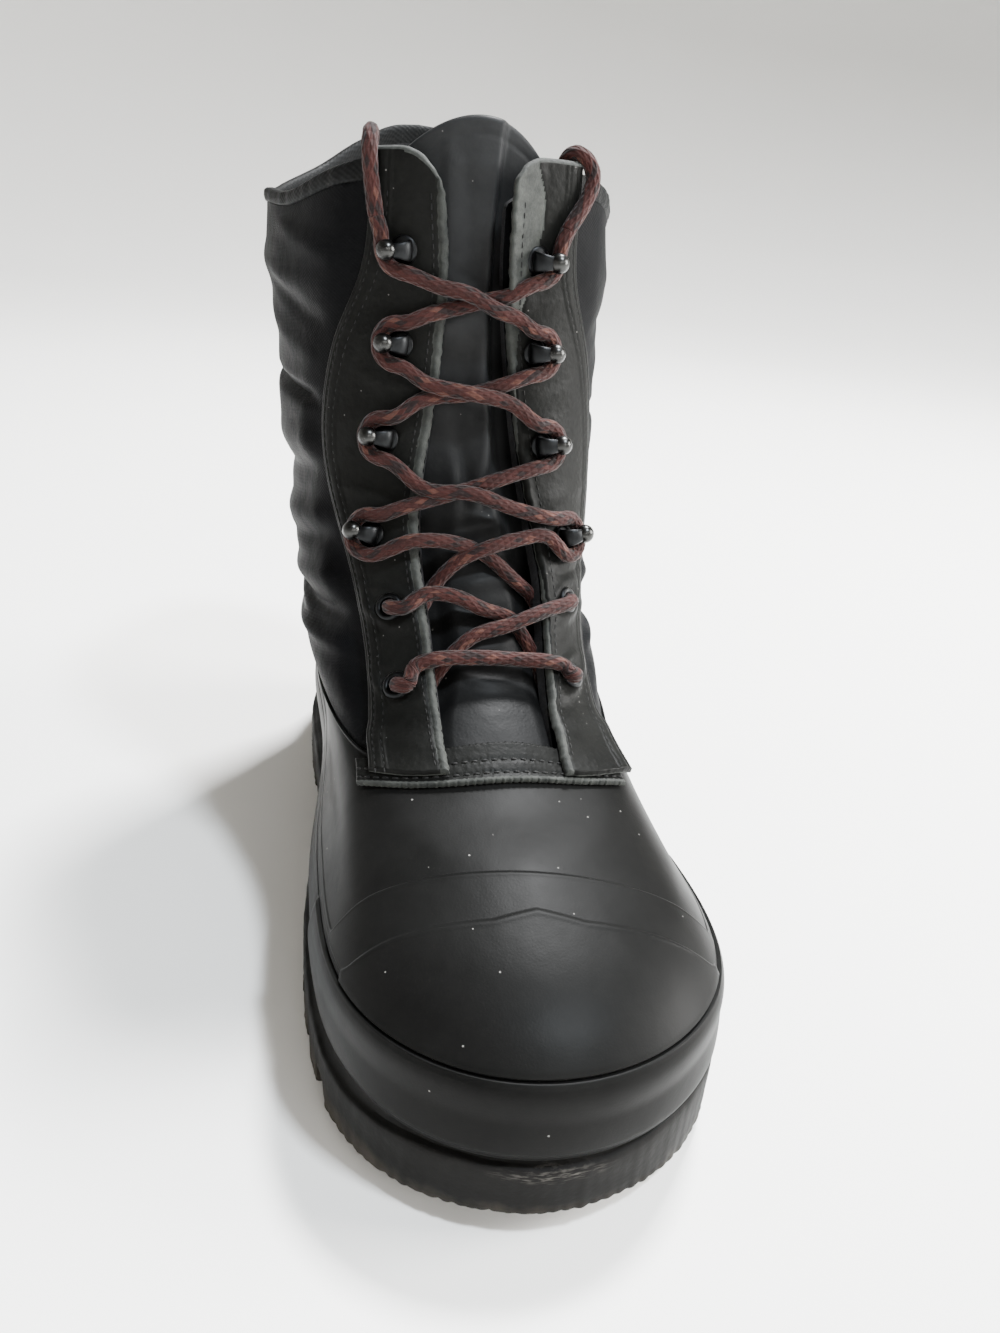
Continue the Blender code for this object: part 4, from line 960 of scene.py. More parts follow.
def make_tongue(finishes):
    """Soft leather tongue: crowned between the facings, its wings deep beside them, an arched
    top with a rounded edge, and folds over the instep."""
    across = crowded(TONGUE_COLUMNS, 0.35)[None, :] * 2 - 1
    up = crowded(TONGUE_ROWS, 0.3)[:, None]
    top = TONGUE_TOP_LEVEL - 0.34 * across ** 2
    bottom = rubber_edge(throat_turn(5.0, TONGUE_HALF[5.1] * across)) + 0.02
    level = bottom + (top - bottom) * up
    degrees = read_curve(TONGUE_HALF, level) * across
    turns = throat_turn(level, degrees)
    crown, beside, wing = read_curve(TONGUE_CROWN, level), 0.0 * level, 0.0 * level
    for side, sign in SIDES.items():
        here = sign * degrees >= 0
        reach = degrees / throat_edge(level, side)
        step = ease((reach - read_curve(WING_START[side], level)) / WING_SOFTNESS[side])
        beside = np.where(here, step, beside)
        wing = np.where(here, read_curve(TONGUE_WING[side], level), wing)
    face = -(crown + (wing - crown) * beside)
    folds = creases(TONGUE_CREASES, level, degrees) * (1 - beside)
    nearest = np.minimum((top - level) * MM_PER_LEVEL, (1 - np.abs(across)) * 28)
    rounded = rounded_edge(nearest, 1.3)
    binding = 0.35 * bell(((top - level) * MM_PER_LEVEL - 4.5) / 0.5)
    front = surface(level, turns, face + folds - (1 - rounded) * 1.1 - binding)
    back = surface(level, turns, face + 0.5 * folds - TONGUE_THICKNESS + (1 - rounded) * 1.1)
    skin = Skin()
    add_sheet(skin, front, back, finish=0, rim_finish=0, back_finish=1)
    return skin.make("tongue_soft", finishes, 60.0)


# ---------------------------------------------------------------- fastenings

EYELET_PROFILE = ((2.6, -5.6), (2.6, 0.7), (2.75, 1.15), (3.15, 1.42), (3.6, 1.45), (4.1, 1.2),
                  (4.5, 0.65), (4.65, 0.15), (4.5, 0.05), (3.1, 0.0), (3.1, -5.6))
PLATE_PROFILE = ((0.02, 1.25), (1.2, 1.22), (2.4, 1.08), (3.4, 0.82), (4.0, 0.5), (4.25, 0.2),
                 (4.2, 0.0), (0.02, 0.0))
FOOT_X = -2.4
ARM_ROUTE = ((-4.2, 1.0, 3.1, 0.55), (-5.2, 2.1, 3.1, 0.6), (-5.3, 3.9, 2.9, 0.65),
             (-4.2, 5.7, 2.6, 0.7), (-2.2, 6.7, 2.2, 0.8), (0.4, 6.9, 1.9, 0.9))
ARM_SIDES, ARM_ROWS = 18, 22
EYELET_SIDES, PLATE_SIDES, BALL_SIDES = 40, 36, 28
BALL = (1.0, 6.7, 3.1)                      # x, height, radius
BALL_ROWS = 15


def fastenings(table):
    """Seats of a pair table, on the leather's face."""
    return [seat(level, SIDES[side] * beside[side], LEATHER_FACE)
            for level, beside in table.values() for side in SIDES]


def make_eyelets(finishes):
    """Four turned eyelets: a rolled flange on the leather and a barrel through the layers."""
    skin = Skin()
    for place in fastenings(EYELETS):
        add_turned(skin, EYELET_PROFILE[::-1], place, EYELET_SIDES, closed=True)
    return skin.make("eyelet_rings", finishes, 60.0)


def ball_profile(height, radius):
    """Half circle from the top of a ball to its bottom."""
    angle = np.linspace(0.02, math.pi - 0.02, BALL_ROWS)
    return np.stack([radius * np.sin(angle), height + radius * np.cos(angle)], -1)


def moved_along(place, x):
    """A seat moved by some millimetres along its own X axis."""
    point, axes = place
    return point + (np.array([x, 0, 0]) * MM) @ axes, axes


def make_hooks(finishes):
    """Eight speed hooks: a domed round foot, a flat arm that curls back over it (an ellipse
    carried along a smooth route) and a ball on the arm's end."""
    knots = np.arange(len(ARM_ROUTE))
    route = smooth_table(knots, ARM_ROUTE, np.linspace(0, knots[-1], ARM_ROWS))
    x, height, wide, thick = route.T
    run = unit(np.gradient(np.stack([x, height], -1), axis=0))
    angle = np.linspace(0, 2 * math.pi, ARM_SIDES, endpoint=False)
    lift = thick[:, None] * np.cos(angle)
    arm = np.stack([x[:, None] - run[:, 1:] * lift, wide[:, None] * np.sin(angle),
                    height[:, None] + run[:, :1] * lift], -1)
    skin = Skin()
    ball_x, *ball_size = BALL
    for place in fastenings(HOOKS):
        add_turned(skin, PLATE_PROFILE[::-1], moved_along(place, FOOT_X), PLATE_SIDES)
        first = skin.grid(seated(arm, place), closed=True, flip=True)
        for row, turned in ((0, False), (ARM_ROWS - 1, True)):
            skin.close_ring(first + row * ARM_SIDES, ARM_SIDES, seated(arm[row].mean(0), place), turned)
        ball = moved_along(place, ball_x)
        add_turned(skin, ball_profile(*ball_size)[::-1], ball, BALL_SIDES, finish=1)
    return skin.make("speed_hooks", finishes, 60.0)


# ---------------------------------------------------------------- lace

CORD_SIDES = 16
TAILS = {                                   # level, degrees off the throat, stand-out
    "medial": ((8.68, -27.6, 5.2), (8.80, -28.5, 5.2), (8.93, -29.3, 5.2), (9.07, -30.2, 4.0),
               (9.15, -32.0, -0.2), (9.08, -34.5, -4.5), (8.93, -36.5, -6.1), (8.78, -38.0, -6.1),
               (8.55, -39.5, -6.0), (8.20, -40.5, -6.0)),
    "lateral": ((8.68, 24.6, 5.2), (8.78, 27.8, 5.2), (8.89, 31.2, 5.2), (8.98, 33.0, 4.6),
                (9.08, 31.6, 2.2), (9.11, 29.6, -1.0), (9.03, 29.2, -4.8), (8.87, 31.0, -6.1),
                (8.60, 33.5, -6.0), (8.24, 36.0, -5.9)),
}
EYELET_PASS = ((-5.6, 0, 3.5), (-2.8, 0, 3.6), (-0.7, 0, 2.5), (0.0, 0, -0.6), (-0.2, 0, -4.4),
               (-2.2, 0, -7.2), (-5.6, 0, -7.9))
HOOK_PASS = ((-4.4, -6.4, 2.6), (0.4, -6.0, 2.5), (3.2, -3.6, 2.4), (4.2, 0, 2.4), (3.2, 3.6, 2.4),
             (0.4, 6.0, 2.5), (-4.4, 6.4, 2.6))
TOP_HOOK_PASS = ((-4.4, -6.4, 2.6), (0.2, -5.6, 2.5), (3.0, -3.2, 2.4), (4.0, 0.2, 2.4),
                 (3.8, 3.4, 2.5))
# The two halves of the lace from the middle of the bottom bar up to the top hooks: eyelets and
# hooks by name and side, and places between them by level, degrees off the throat, stand-out
HALF_TO_LATERAL = (
    (5.97, -8.8, 1.6), (5.88, -22.0, 4.7), (5.80, -27.0, 5.0), ("eyelet_1", "medial"),
    (5.78, -24.0, -5.2), (6.02, -15.3, -3.4), (6.15, -8.0, -2.2), (6.21, 7.2, 0.2),
    (6.23, 14.1, 2.8), (6.24, 21.5, 4.8), ("eyelet_2", "lateral"),
    (6.38, 21.5, -5.2), (6.52, 13.7, -3.6), (6.75, -0.2, -2.0), (6.80, -12.0, 1.4),
    (6.76, -22.9, 4.9), ("hook_1", "medial"),
    (6.98, -24.3, 4.8), (7.06, -16.8, 3.4), (7.17, -1.7, 0.5), (7.25, 12.6, 3.0), ("hook_2", "lateral"),
    (7.68, 11.7, 4.3), (7.74, -2.5, 4.6), (7.78, -15.4, 4.7), ("hook_3", "medial"),
    (8.17, -14.3, 4.4), (8.22, -6.6, 1.3), (8.26, 0.0, 0.2), (8.31, 9.0, 3.2), ("hook_4", "lateral"),
)
HALF_TO_MEDIAL = (
    (5.92, 9.1, 1.6), (5.80, 20.0, 4.7), (5.72, 25.0, 5.0), ("eyelet_1", "lateral"),
    (5.86, 22.5, -5.2), (6.08, 16.0, -4.4), (6.25, 10.2, -2.9), (6.36, -3.7, -1.2), (6.41, -10.7, 1.6),
    (6.38, -22.5, 4.8), ("eyelet_2", "medial"),
    (6.42, -22.5, -5.2), (6.55, -17.5, -4.2), (6.70, -8.5, -1.6), (6.76, -0.1, 1.0), (6.81, 13.3, 2.8),
    (6.81, 20.4, 4.8), ("hook_1", "lateral"),
    (7.02, 11.4, 4.3), (7.13, -3.1, 4.7), (7.13, -16.6, 4.7), ("hook_2", "medial"),
    (7.67, -16.5, 3.9), (7.74, 0.0, 0.4), (7.82, 12.6, 3.9), ("hook_3", "lateral"),
    (8.17, 13.5, 4.5), (8.23, 4.7, 4.5), (8.31, -3.4, 4.5), (8.33, -10.7, 4.7), ("hook_4", "medial"),
)
FASTENINGS = {**EYELETS, **HOOKS}


def lace_half(route):
    """Points of half the lace with, for each, a direction that the cord never runs along."""
    points, across = [], []
    for stop in route:
        if isinstance(stop[0], str):
            name, side = stop
            level, beside = FASTENINGS[name]
            place = seat(level, SIDES[side] * beside[side], LEATHER_FACE)
            steps, steady = HOOK_PASS, place[1][2]
            if name in EYELETS:
                steps, steady = EYELET_PASS, place[1][1] * SIDES[side]
            elif name == "hook_4":
                steps = TOP_HOOK_PASS
            points.extend(seated(np.array(steps, float) * [1.0, SIDES[side], 1.0], place))
            across.extend([steady] * len(steps))
        else:
            level, degrees, out = (np.array(float(value)) for value in stop)
            points.append(surface(level, throat_turn(level, degrees), out))
            across.append(None)
    known = [at for at, value in enumerate(across) if value is not None]
    known_values = np.array([across[at] for at in known])
    places = np.arange(len(points))
    blended = np.stack([np.interp(places, known, known_values[:, axis]) for axis in range(3)], -1)
    return np.array(points), blended


def braid_relief(along, share):
    """Plaited sleeve: strands that wind both ways round the cord, seen as low lozenges, and a
    slow swell along it."""
    turn = 2 * math.pi * share * 6
    pitch = 2 * math.pi * along / 0.0058
    strands = np.maximum(np.sin(turn + pitch), np.sin(turn - pitch))
    swell = np.sin(along / 0.017 * 2 * math.pi + 1.3 * np.sin(along / 0.041))
    return 0.035 * strands + 0.02 * swell


def tail_path(side, spacing):
    """Centre line of one lace end: from the top hook over the collar and down inside."""
    level, degrees, out = np.array(TAILS[side]).T
    route = surface(level, throat_turn(level, degrees), out)
    return drawn_taut(even_path(route, spacing), 3)


def make_lace_front(finishes, radius):
    """The laced length: one cord through eyelets and round hooks, from tail to tail."""
    up_right, across_right = lace_half(HALF_TO_LATERAL)
    up_left, across_left = lace_half(HALF_TO_MEDIAL)
    tails = {}
    for side in SIDES:
        level, degrees, out = (np.array(value) for value in TAILS[side][0])
        tails[side] = surface(level, throat_turn(level, degrees), out)
    route = np.concatenate([[tails["medial"]], up_left[::-1], up_right, [tails["lateral"]]])
    across = np.concatenate([across_left[-1:], across_left[::-1], across_right, across_right[-1:]])
    path = drawn_taut(even_path(route, 0.9 * MM), 3)
    knots = length_along(route)
    run = np.linspace(0, knots[-1], len(path))
    reference = np.stack([np.interp(run, knots, across[:, axis]) for axis in range(3)], -1)
    skin = Skin()
    add_cord(skin, path, reference, radius)
    return skin.make("lace_front", finishes, 70.0)


def make_lace_tail(side, finishes, radius):
    """One lace end as a free cord along its centre line."""
    path = tail_path(side, 1.0 * MM)
    level, degrees, _ = np.array(TAILS[side]).T
    turn = np.interp(np.linspace(0, 1, len(path)), np.linspace(0, 1, len(level)),
                     throat_turn(level, degrees))
    reference = np.stack([np.cos(turn), np.sin(turn), 0 * turn], -1)
    skin = Skin()
    add_cord(skin, path, reference, radius)
    return skin.make("lace_tail_" + side, finishes, 70.0), path


# ---------------------------------------------------------------- stitching

STRIP_STITCH = (3.0, 2.1, 0.34)             # pitch, length, radius
FACING_STITCH = (2.8, 2.0, 0.26)
STITCH_SIDES = 6
STITCH_RINGS = (                            # place on the stitch, size, lift, of its length or radius
    (-0.5, 0.15, -0.9), (-0.38, 0.85, -0.1), (0.0, 1.0, 0.12), (0.38, 0.85, -0.1), (0.5, 0.15, -0.9))


def add_stitches(skin, level, turn, out, stitch):
    """Stitches along a line: each is a short capsule of six sides, sunk at both ends."""
    pitch, length, radius = stitch
    line = even_path(surface(level, turn, out), pitch * MM)
    run = unit(np.gradient(line, axis=0))
    near = np.linspace(0, 1, len(line))
    at = np.linspace(0, 1, np.size(level))
    normal = outward(np.interp(near, at, level), np.interp(near, at, turn))
    side = np.cross(run, normal)
    steps, size, lift = np.array(STITCH_RINGS).T[:, :, None] * MM
    angle = np.linspace(0, 2 * math.pi, STITCH_SIDES, endpoint=False)[:, None]
    centres = line[:, None] + run[:, None] * steps * length + normal[:, None] * lift * radius
    ring = np.cos(angle) * normal[:, None, None] + np.sin(angle) * side[:, None, None]
    first = skin.add_points(centres[:, :, None] + ring * size[:, None] * radius)
    one = grid_corners(len(STITCH_RINGS), STITCH_SIDES, closed=True)
    starts = first + len(STITCH_RINGS) * STITCH_SIDES * np.arange(len(line))[:, None, None]
    skin.add_faces((one + starts).reshape(-1, 4))
    ends = np.array([[0, 5, 4, 3], [0, 3, 2, 1], [24, 25, 26, 27], [24, 27, 28, 29]])
    skin.add_faces((ends + starts).reshape(-1, 4))


def make_stitching(finishes):
    """Rows of thread on the strip, along both facings and on their outer seams."""
    skin = Skin()
    turns = np.radians(np.linspace(STRIP_ENDS[0] + 1.5, STRIP_ENDS[1] - 1.5, 60))
    strip_face = FACING_GAP + 1.45 + 0 * turns
    for up in THREAD_ROWS:
        add_stitches(skin, strip_edge(turns) + up / MM_PER_LEVEL, turns, strip_face, STRIP_STITCH)
    for side, sign in SIDES.items():
        for inside, foot in zip((3.6, *SEAM_ROWS), (4.98, 4.45, 4.55)):
            level = np.linspace(foot, 8.8, 120)
            if inside in SEAM_ROWS:
                degrees = sign * (facing_half(level) - inside / MM_PER_DEGREE)
                lift = 0.05
            else:
                degrees = throat_edge(level, side) + sign * inside / MM_PER_DEGREE
                lift = throat_curl(level, inside, side) - 0.02
            turn = throat_turn(level, degrees)
            out = (facing_lift(level, turn) + LEATHER + lift - edge_dip(level, degrees)
                   + creases(FACING_CREASES, level, degrees) * FACING_CREASE_SHARE
                   + fastening_relief(level, degrees, side))
            add_stitches(skin, level, turn, out, FACING_STITCH)
    return skin.make("stitching", finishes, 60.0)


# ---------------------------------------------------------------- materials

class Nodes:
    """Adds nodes to one tree.  An input is a value or the output of another node, and every
    method but add gives the output of the node that it adds."""

    def __init__(self, tree):
        self.tree = tree

    def add(self, kind, inputs, **settings):
        """A node with its settings, and its inputs by name or number."""
        made = self.tree.nodes.new(kind)
        for key, value in settings.items():
            setattr(made, key, value)
        for key, value in inputs.items():
            if isinstance(value, bpy.types.NodeSocket):
                self.tree.links.new(value, made.inputs[key])
            else:
                made.inputs[key].default_value = value
        return made

    def calculate(self, operation, first, second=0.0, third=0.0):
        """One sum of up to three numbers."""
        numbers = {0: first, 1: second, 2: third}
        return self.add("ShaderNodeMath", numbers, operation=operation).outputs[0]

    def spread(self, value, low, high, to_low=0.0, to_high=1.0):
        """A value carried from one range onto another, and held at its ends."""
        ranges = {"From Min": low, "From Max": high, "To Min": to_low, "To Max": to_high}
        return self.add("ShaderNodeMapRange", {"Value": value, **ranges}).outputs["Result"]

    def mix(self, factor, first, second):
        """A colour between two colours."""
        return self.add("ShaderNodeMix", {0: factor, 6: first, 7: second}, data_type="RGBA").outputs[2]

    def noise(self, vector, scale, detail=3.0, roughness=0.55):
        """Cloudy noise."""
        inputs = {"Vector": vector, "Scale": scale, "Detail": detail, "Roughness": roughness}
        return self.add("ShaderNodeTexNoise", inputs).outputs["Fac"]

    def vector(self, operation, first, *second):
        """One sum of vectors; its outputs are a vector and, for a length, a number."""
        return self.add("ShaderNodeVectorMath", dict(enumerate((first, *second))),
                        operation=operation).outputs


class Effect(Nodes):
    """A shared effect: a node group with a place, named numbers and named results."""

    def __init__(self, name, numbers, results):
        super().__init__(bpy.data.node_groups.new(name, "ShaderNodeTree"))
        sockets = self.tree.interface
        sockets.new_socket(name="Vector", in_out="INPUT", socket_type="NodeSocketVector")
        for label, value in numbers.items():
            made = sockets.new_socket(name=label, in_out="INPUT", socket_type="NodeSocketFloat")
            made.default_value = value
        for label in results:
            sockets.new_socket(name=label, in_out="OUTPUT", socket_type="NodeSocketFloat")
        self.place, *self.given = self.tree.nodes.new("NodeGroupInput").outputs
        self.results = self.tree.nodes.new("NodeGroupOutput").inputs

    def done(self, *values):
        """Links the results and returns the finished group."""
        for value, result in zip(values, self.results):
            self.tree.links.new(value, result)
        return self.tree


def grain_group():
    """Leather grain: rounded cells with fine noise over them."""
    grain = Effect("Leather grain", {"Scale": 700.0}, ["Height"])
    scale = grain.given[0]
    cells = grain.add("ShaderNodeTexVoronoi", {"Vector": grain.place, "Scale": scale},
                      feature="SMOOTH_F1")
    fine = grain.noise(grain.place, grain.calculate("MULTIPLY", scale, 2.4), 2.0)
    rounded = grain.spread(cells.outputs["Distance"], 0.0, 0.6, 0.6, 0.0)
    return grain.done(grain.calculate("MULTIPLY_ADD", fine, 0.45, rounded))


def tone_group():
    """Uneven tone: large soft clouds with finer ones in them, stretched between 0 and 1."""
    tone = Effect("Uneven tone", {"Scale": 30.0}, ["Amount"])
    clouds = tone.noise(tone.place, tone.given[0], 5.0, 0.6)
    return tone.done(tone.spread(clouds, 0.32, 0.68))


def specks_group():
    """Dust specks: small dots in some of the cells of a random pattern."""
    dust = Effect("Dust specks", {"Scale": 260.0, "Size": 0.12, "Share": 0.5}, ["Mask"])
    scale, size, share = dust.given[:3]
    cells = dust.add("ShaderNodeTexVoronoi", {"Vector": dust.place, "Scale": scale})
    reach = dust.calculate("MULTIPLY", dust.noise(dust.place, 90.0, 1.0), size)
    dot = dust.calculate("LESS_THAN", cells.outputs["Distance"], reach)
    drawn = dust.add("ShaderNodeSeparateColor", {0: cells.outputs["Color"]}).outputs[0]
    return dust.done(dust.calculate("MULTIPLY", dot, dust.calculate("LESS_THAN", drawn, share)))


def weave_group():
    """Plain weave: threads over and under, from two sines of the cloth's own place."""
    weave = Effect("Cloth weave", {"Threads": 1600.0}, ["Height"])
    place = weave.add("ShaderNodeSeparateXYZ", {0: weave.place}).outputs
    turned = weave.calculate("MULTIPLY", weave.given[0], math.pi)
    across, along = (weave.calculate("SINE", weave.calculate("MULTIPLY", place[axis], turned))
                     for axis in (0, 1))
    return weave.done(weave.calculate("MULTIPLY_ADD", weave.calculate("MULTIPLY", across, along),
                                      0.5, 0.5))


def plait_group():
    """Plaited cord: strands that wind both ways, and a random tone for each short stretch."""
    plait = Effect("Plaited cord", {"Strands": 8.0, "Pitch": 0.0042}, ["Height", "Fleck"])
    strands, pitch = plait.given[:2]
    place = plait.add("ShaderNodeSeparateXYZ", {0: plait.place}).outputs
    run = plait.calculate("DIVIDE", place[0], pitch)
    round_it = plait.calculate("MULTIPLY", place[1], strands)
    ways = [plait.calculate(operation, run, round_it) for operation in ("ADD", "SUBTRACT")]
    waves = [plait.calculate("SINE", plait.calculate("MULTIPLY", way, 2 * math.pi)) for way in ways]
    cells = [plait.calculate("FLOOR", way) for way in ways]
    cell = plait.add("ShaderNodeCombineXYZ", dict(enumerate(cells))).outputs[0]
    drawn = plait.add("ShaderNodeTexWhiteNoise", {0: cell}).outputs["Value"]
    return plait.done(plait.calculate("MAXIMUM", *waves), drawn)


def shade(colour, factor):
    """A colour made lighter or darker, as four numbers."""
    return (*(min(channel * factor, 1.0) for channel in colour), 1.0)


class Finish(Nodes):
    """A material being made, with the constants set on its shader's own sockets."""

    def __init__(self, groups, name, roughness, specular=0.5, sheen=0.0, metallic=0.0):
        self.made = bpy.data.materials.new(name)
        self.made.use_nodes = True
        super().__init__(self.made.node_tree)
        self.groups = groups
        self.shader = self.tree.nodes["Principled BSDF"].inputs
        for label, value in (("Roughness", roughness), ("Specular IOR Level", specular),
                             ("Sheen Weight", sheen), ("Metallic", metallic)):
            self.shader[label].default_value = value
        places = self.tree.nodes.new("ShaderNodeTexCoord").outputs
        self.place, self.cloth = places["Object"], places["UV"]

    def use(self, group, output=0, **inputs):
        """Output of one of the shared groups."""
        return self.add("ShaderNodeGroup", inputs, node_tree=self.groups[group]).outputs[output]

    def tone(self, scale):
        """Uneven tone over the piece, from 0 to 1."""
        return self.use("tone", Vector=self.place, Scale=scale)

    def height(self):
        """Height over the floor, in metres."""
        return self.add("ShaderNodeSeparateXYZ", {0: self.place}).outputs[2]

    def toned(self, tone, base, dark, light):
        """A colour between a darker and a lighter base."""
        return self.mix(tone, shade(base, dark), shade(base, light))

    def done(self, colour, roughness, bumps=()):
        """Links colour, roughness and a chain of bumps (height, depth in mm, strength), and
        returns the finished material."""
        self.tree.links.new(colour, self.shader["Base Color"])
        self.tree.links.new(roughness, self.shader["Roughness"])
        before = {}
        for height, depth, strength in bumps:
            inputs = {"Height": height, "Distance": depth * MM, "Strength": strength, **before}
            before = {"Normal": self.add("ShaderNodeBump", inputs).outputs[0]}
        for normal in before.values():
            self.tree.links.new(normal, self.shader["Normal"])
        return self.made


DUST_COLOUR = (0.34, 0.33, 0.31, 1.0)
LEATHER_DUST = (0.22, 0.21, 0.20, 1.0)
DIRT_COLOUR = (0.042, 0.036, 0.029, 1.0)
SCUFF_COLOUR = (0.075, 0.070, 0.062, 1.0)
SCUFF_PLACE = (-0.008, -0.160, 0.0215)
DARK_FLECK = (0.005, 0.0025, 0.0025, 1.0)
PALE_FLECK = (0.09, 0.040, 0.028, 1.0)


class Palette:
    """The finishes of the boot, from its settings and the shared effects."""

    def __init__(self, settings):
        self.settings = settings
        self.groups = {"grain": grain_group(), "tone": tone_group(), "specks": specks_group(),
                       "weave": weave_group(), "plait": plait_group()}

    def begin(self, name, roughness, **constants):
        """A new material that can use the shared effects."""
        return Finish(self.groups, name, roughness, **constants)

    def shell_rubber(self):
        """Satin moulded rubber with dusty bloom and fine specks."""
        rubber = self.begin("shell rubber", 0.42, specular=0.035)
        tone = rubber.tone(22.0)
        specks = rubber.use("specks", Vector=rubber.place, Scale=260.0, Size=0.13, Share=0.20)
        dust = rubber.calculate("MULTIPLY", specks, self.settings.rubber.dust)
        colour = rubber.toned(tone, self.settings.rubber.shell_colour, 0.8, 1.35)
        wavy = rubber.noise(rubber.place, 70.0, 2.0)
        fine = rubber.noise(rubber.place, 1500.0, 2.0)
        return rubber.done(rubber.mix(dust, colour, DUST_COLOUR),
                           rubber.spread(tone, 0.0, 1.0, 0.36, 0.48),
                           ((wavy, 0.5, 0.35), (fine, 0.06, 0.5)))

    def sole_rubber(self):
        """Rougher rubber, browned with dirt along the cut lower edge, with a pale scuff."""
        rubber = self.begin("sole rubber", 0.66, specular=0.08)
        tone = rubber.tone(60.0)
        ragged = rubber.calculate("MULTIPLY_ADD", rubber.noise(rubber.place, 130.0, 4.0), 0.012,
                                  rubber.height())
        dirt = rubber.spread(ragged, 0.0100, 0.0175, 0.70, 0.0)
        colour = rubber.toned(tone, self.settings.rubber.sole_colour, 0.8, 1.5)
        colour = rubber.mix(dirt, colour, DIRT_COLOUR)
        away = rubber.vector("SUBTRACT", rubber.place, SCUFF_PLACE)[0]
        flat = rubber.vector("MULTIPLY", away, (0.3, 0.3, 2.0))[0]
        spot = rubber.spread(rubber.vector("LENGTH", flat)["Value"], 0.0015, 0.0055, 1.0, 0.0)
        streaks = rubber.spread(rubber.noise(flat, 900.0, 4.0), 0.48, 0.66)
        scuff = rubber.calculate("MULTIPLY", rubber.calculate("MULTIPLY", spot, streaks), 0.7)
        return rubber.done(rubber.mix(scuff, colour, SCUFF_COLOUR),
                           rubber.spread(tone, 0.0, 1.0, 0.58, 0.78),
                           ((rubber.noise(rubber.place, 600.0, 3.0), 0.25, 0.5),))

    def nylon(self):
        """Glossy woven nylon, coated on the inside, with soft uneven sheen."""
        nylon = self.begin("nylon cloth", 0.42, specular=0.03)
        tone = nylon.tone(26.0)
        weave = nylon.use("weave", Vector=nylon.cloth, Threads=1700.0)
        pucker = nylon.noise(nylon.place, 210.0, 3.0)
        return nylon.done(nylon.toned(tone, self.settings.upper.nylon_colour, 0.75, 1.5),
                          nylon.spread(tone, 0.0, 1.0, 0.46, 0.62),
                          ((pucker, 0.8, 0.35), (weave, 0.10, 0.6)))

    def binding(self):
        """Collar tape: a coarser, duller weave."""
        tape = self.begin("collar tape", 0.6, specular=0.06)
        tone = tape.tone(80.0)
        weave = tape.use("weave", Vector=tape.cloth, Threads=1100.0)
        colour = tape.mix(tone, (0.003, 0.0031, 0.0031, 1.0), (0.006, 0.0063, 0.0063, 1.0))
        return tape.done(colour, tape.spread(tone, 0.0, 1.0, 0.5, 0.7), ((weave, 0.16, 0.7),))

    def felt(self):
        """Felt lining."""
        felt = self.begin("felt lining", 0.95, specular=0.2)
        fibres = felt.noise(felt.place, 900.0, 5.0, 0.7)
        colour = felt.mix(felt.tone(120.0), (0.006, 0.006, 0.0065, 1.0), (0.014, 0.014, 0.015, 1.0))
        return felt.done(colour, felt.spread(fibres, 0.3, 0.7, 0.88, 1.0), ((fibres, 0.5, 0.8),))

    def leather(self, name, base, low_rough, high_rough, scale, depth, painted_sheen_factor=1.0):
        """Grained leather with uneven tone, and a painted sheen that makes it paler towards the top."""
        leather = self.begin(name, 0.45, specular=0.044)
        tone = leather.tone(55.0)
        grain = leather.use("grain", Vector=leather.place, Scale=scale)
        soft = leather.noise(leather.place, 120.0, 3.0)
        specks = leather.use("specks", Vector=leather.place, Scale=420.0, Size=0.22, Share=0.10)
        # painted sheen: from 0.10 to 0.21 m over the floor the colour turns paler by the given factor,
        # standing in for light falling on the upper part
        colour = leather.mix(leather.spread(leather.height(), 0.10, 0.21),
                             leather.toned(tone, base, 0.8, 1.3),
                             leather.toned(tone, base, 0.8 * painted_sheen_factor, 1.3 * painted_sheen_factor))
        colour = leather.mix(leather.calculate("MULTIPLY", specks, 0.3), colour, LEATHER_DUST)
        return leather.done(colour, leather.spread(tone, 0.0, 1.0, low_rough, high_rough),
                            ((soft, 0.5, 0.4), (grain, depth, 0.7)))

    def raw_edge(self):
        """Cut and burnished leather edge: pale, fibrous and rough."""
        edge = self.begin("raw edge", 0.8, specular=0.3)
        tone = edge.tone(170.0)
        fibres = edge.noise(edge.place, 1100.0, 4.0, 0.7)
        colour = edge.mix(tone, (0.007, 0.008, 0.007, 1.0), (0.025, 0.027, 0.0235, 1.0))
        return edge.done(colour, edge.spread(fibres, 0.3, 0.7, 0.7, 0.9),
                         ((tone, 0.4, 0.5), (fibres, 0.3, 0.6)))

    def cord(self):
        """Two-tone plaited cord with dark and pale flecks."""
        cord = self.begin("plaited cord", 0.82, specular=0.16, sheen=0.05)
        strands, drawn = (cord.use("plait", output, Vector=cord.cloth) for output in (0, 1))
        colour = cord.toned(cord.spread(drawn, 0.25, 0.75), self.settings.lace.lace_colour, 0.75, 1.25)
        dark = cord.calculate("LESS_THAN", drawn, self.settings.lace.dark_share)
        colour = cord.mix(cord.calculate("MULTIPLY", dark, 0.8), colour, DARK_FLECK)
        pale = cord.calculate("GREATER_THAN", drawn, 0.93)
        colour = cord.mix(cord.calculate("MULTIPLY", pale, 0.35), colour, PALE_FLECK)
        fibres = cord.noise(cord.place, 2600.0, 2.0)
        return cord.done(colour, cord.spread(fibres, 0.3, 0.7, 0.75, 0.92),
                         ((strands, 0.22, 0.8), (fibres, 0.08, 0.5)))

    def metal(self, name, base, low_rough, high_rough):
        """Worn metal with faint scratches."""
        metal = self.begin(name, 0.3, metallic=1.0)
        tone = metal.tone(300.0)
        return metal.done(metal.toned(tone, base, 0.8, 1.2),
                          metal.spread(tone, 0.0, 1.0, low_rough, high_rough),
                          ((metal.noise(metal.place, 1800.0, 2.0), 0.02, 0.4),))

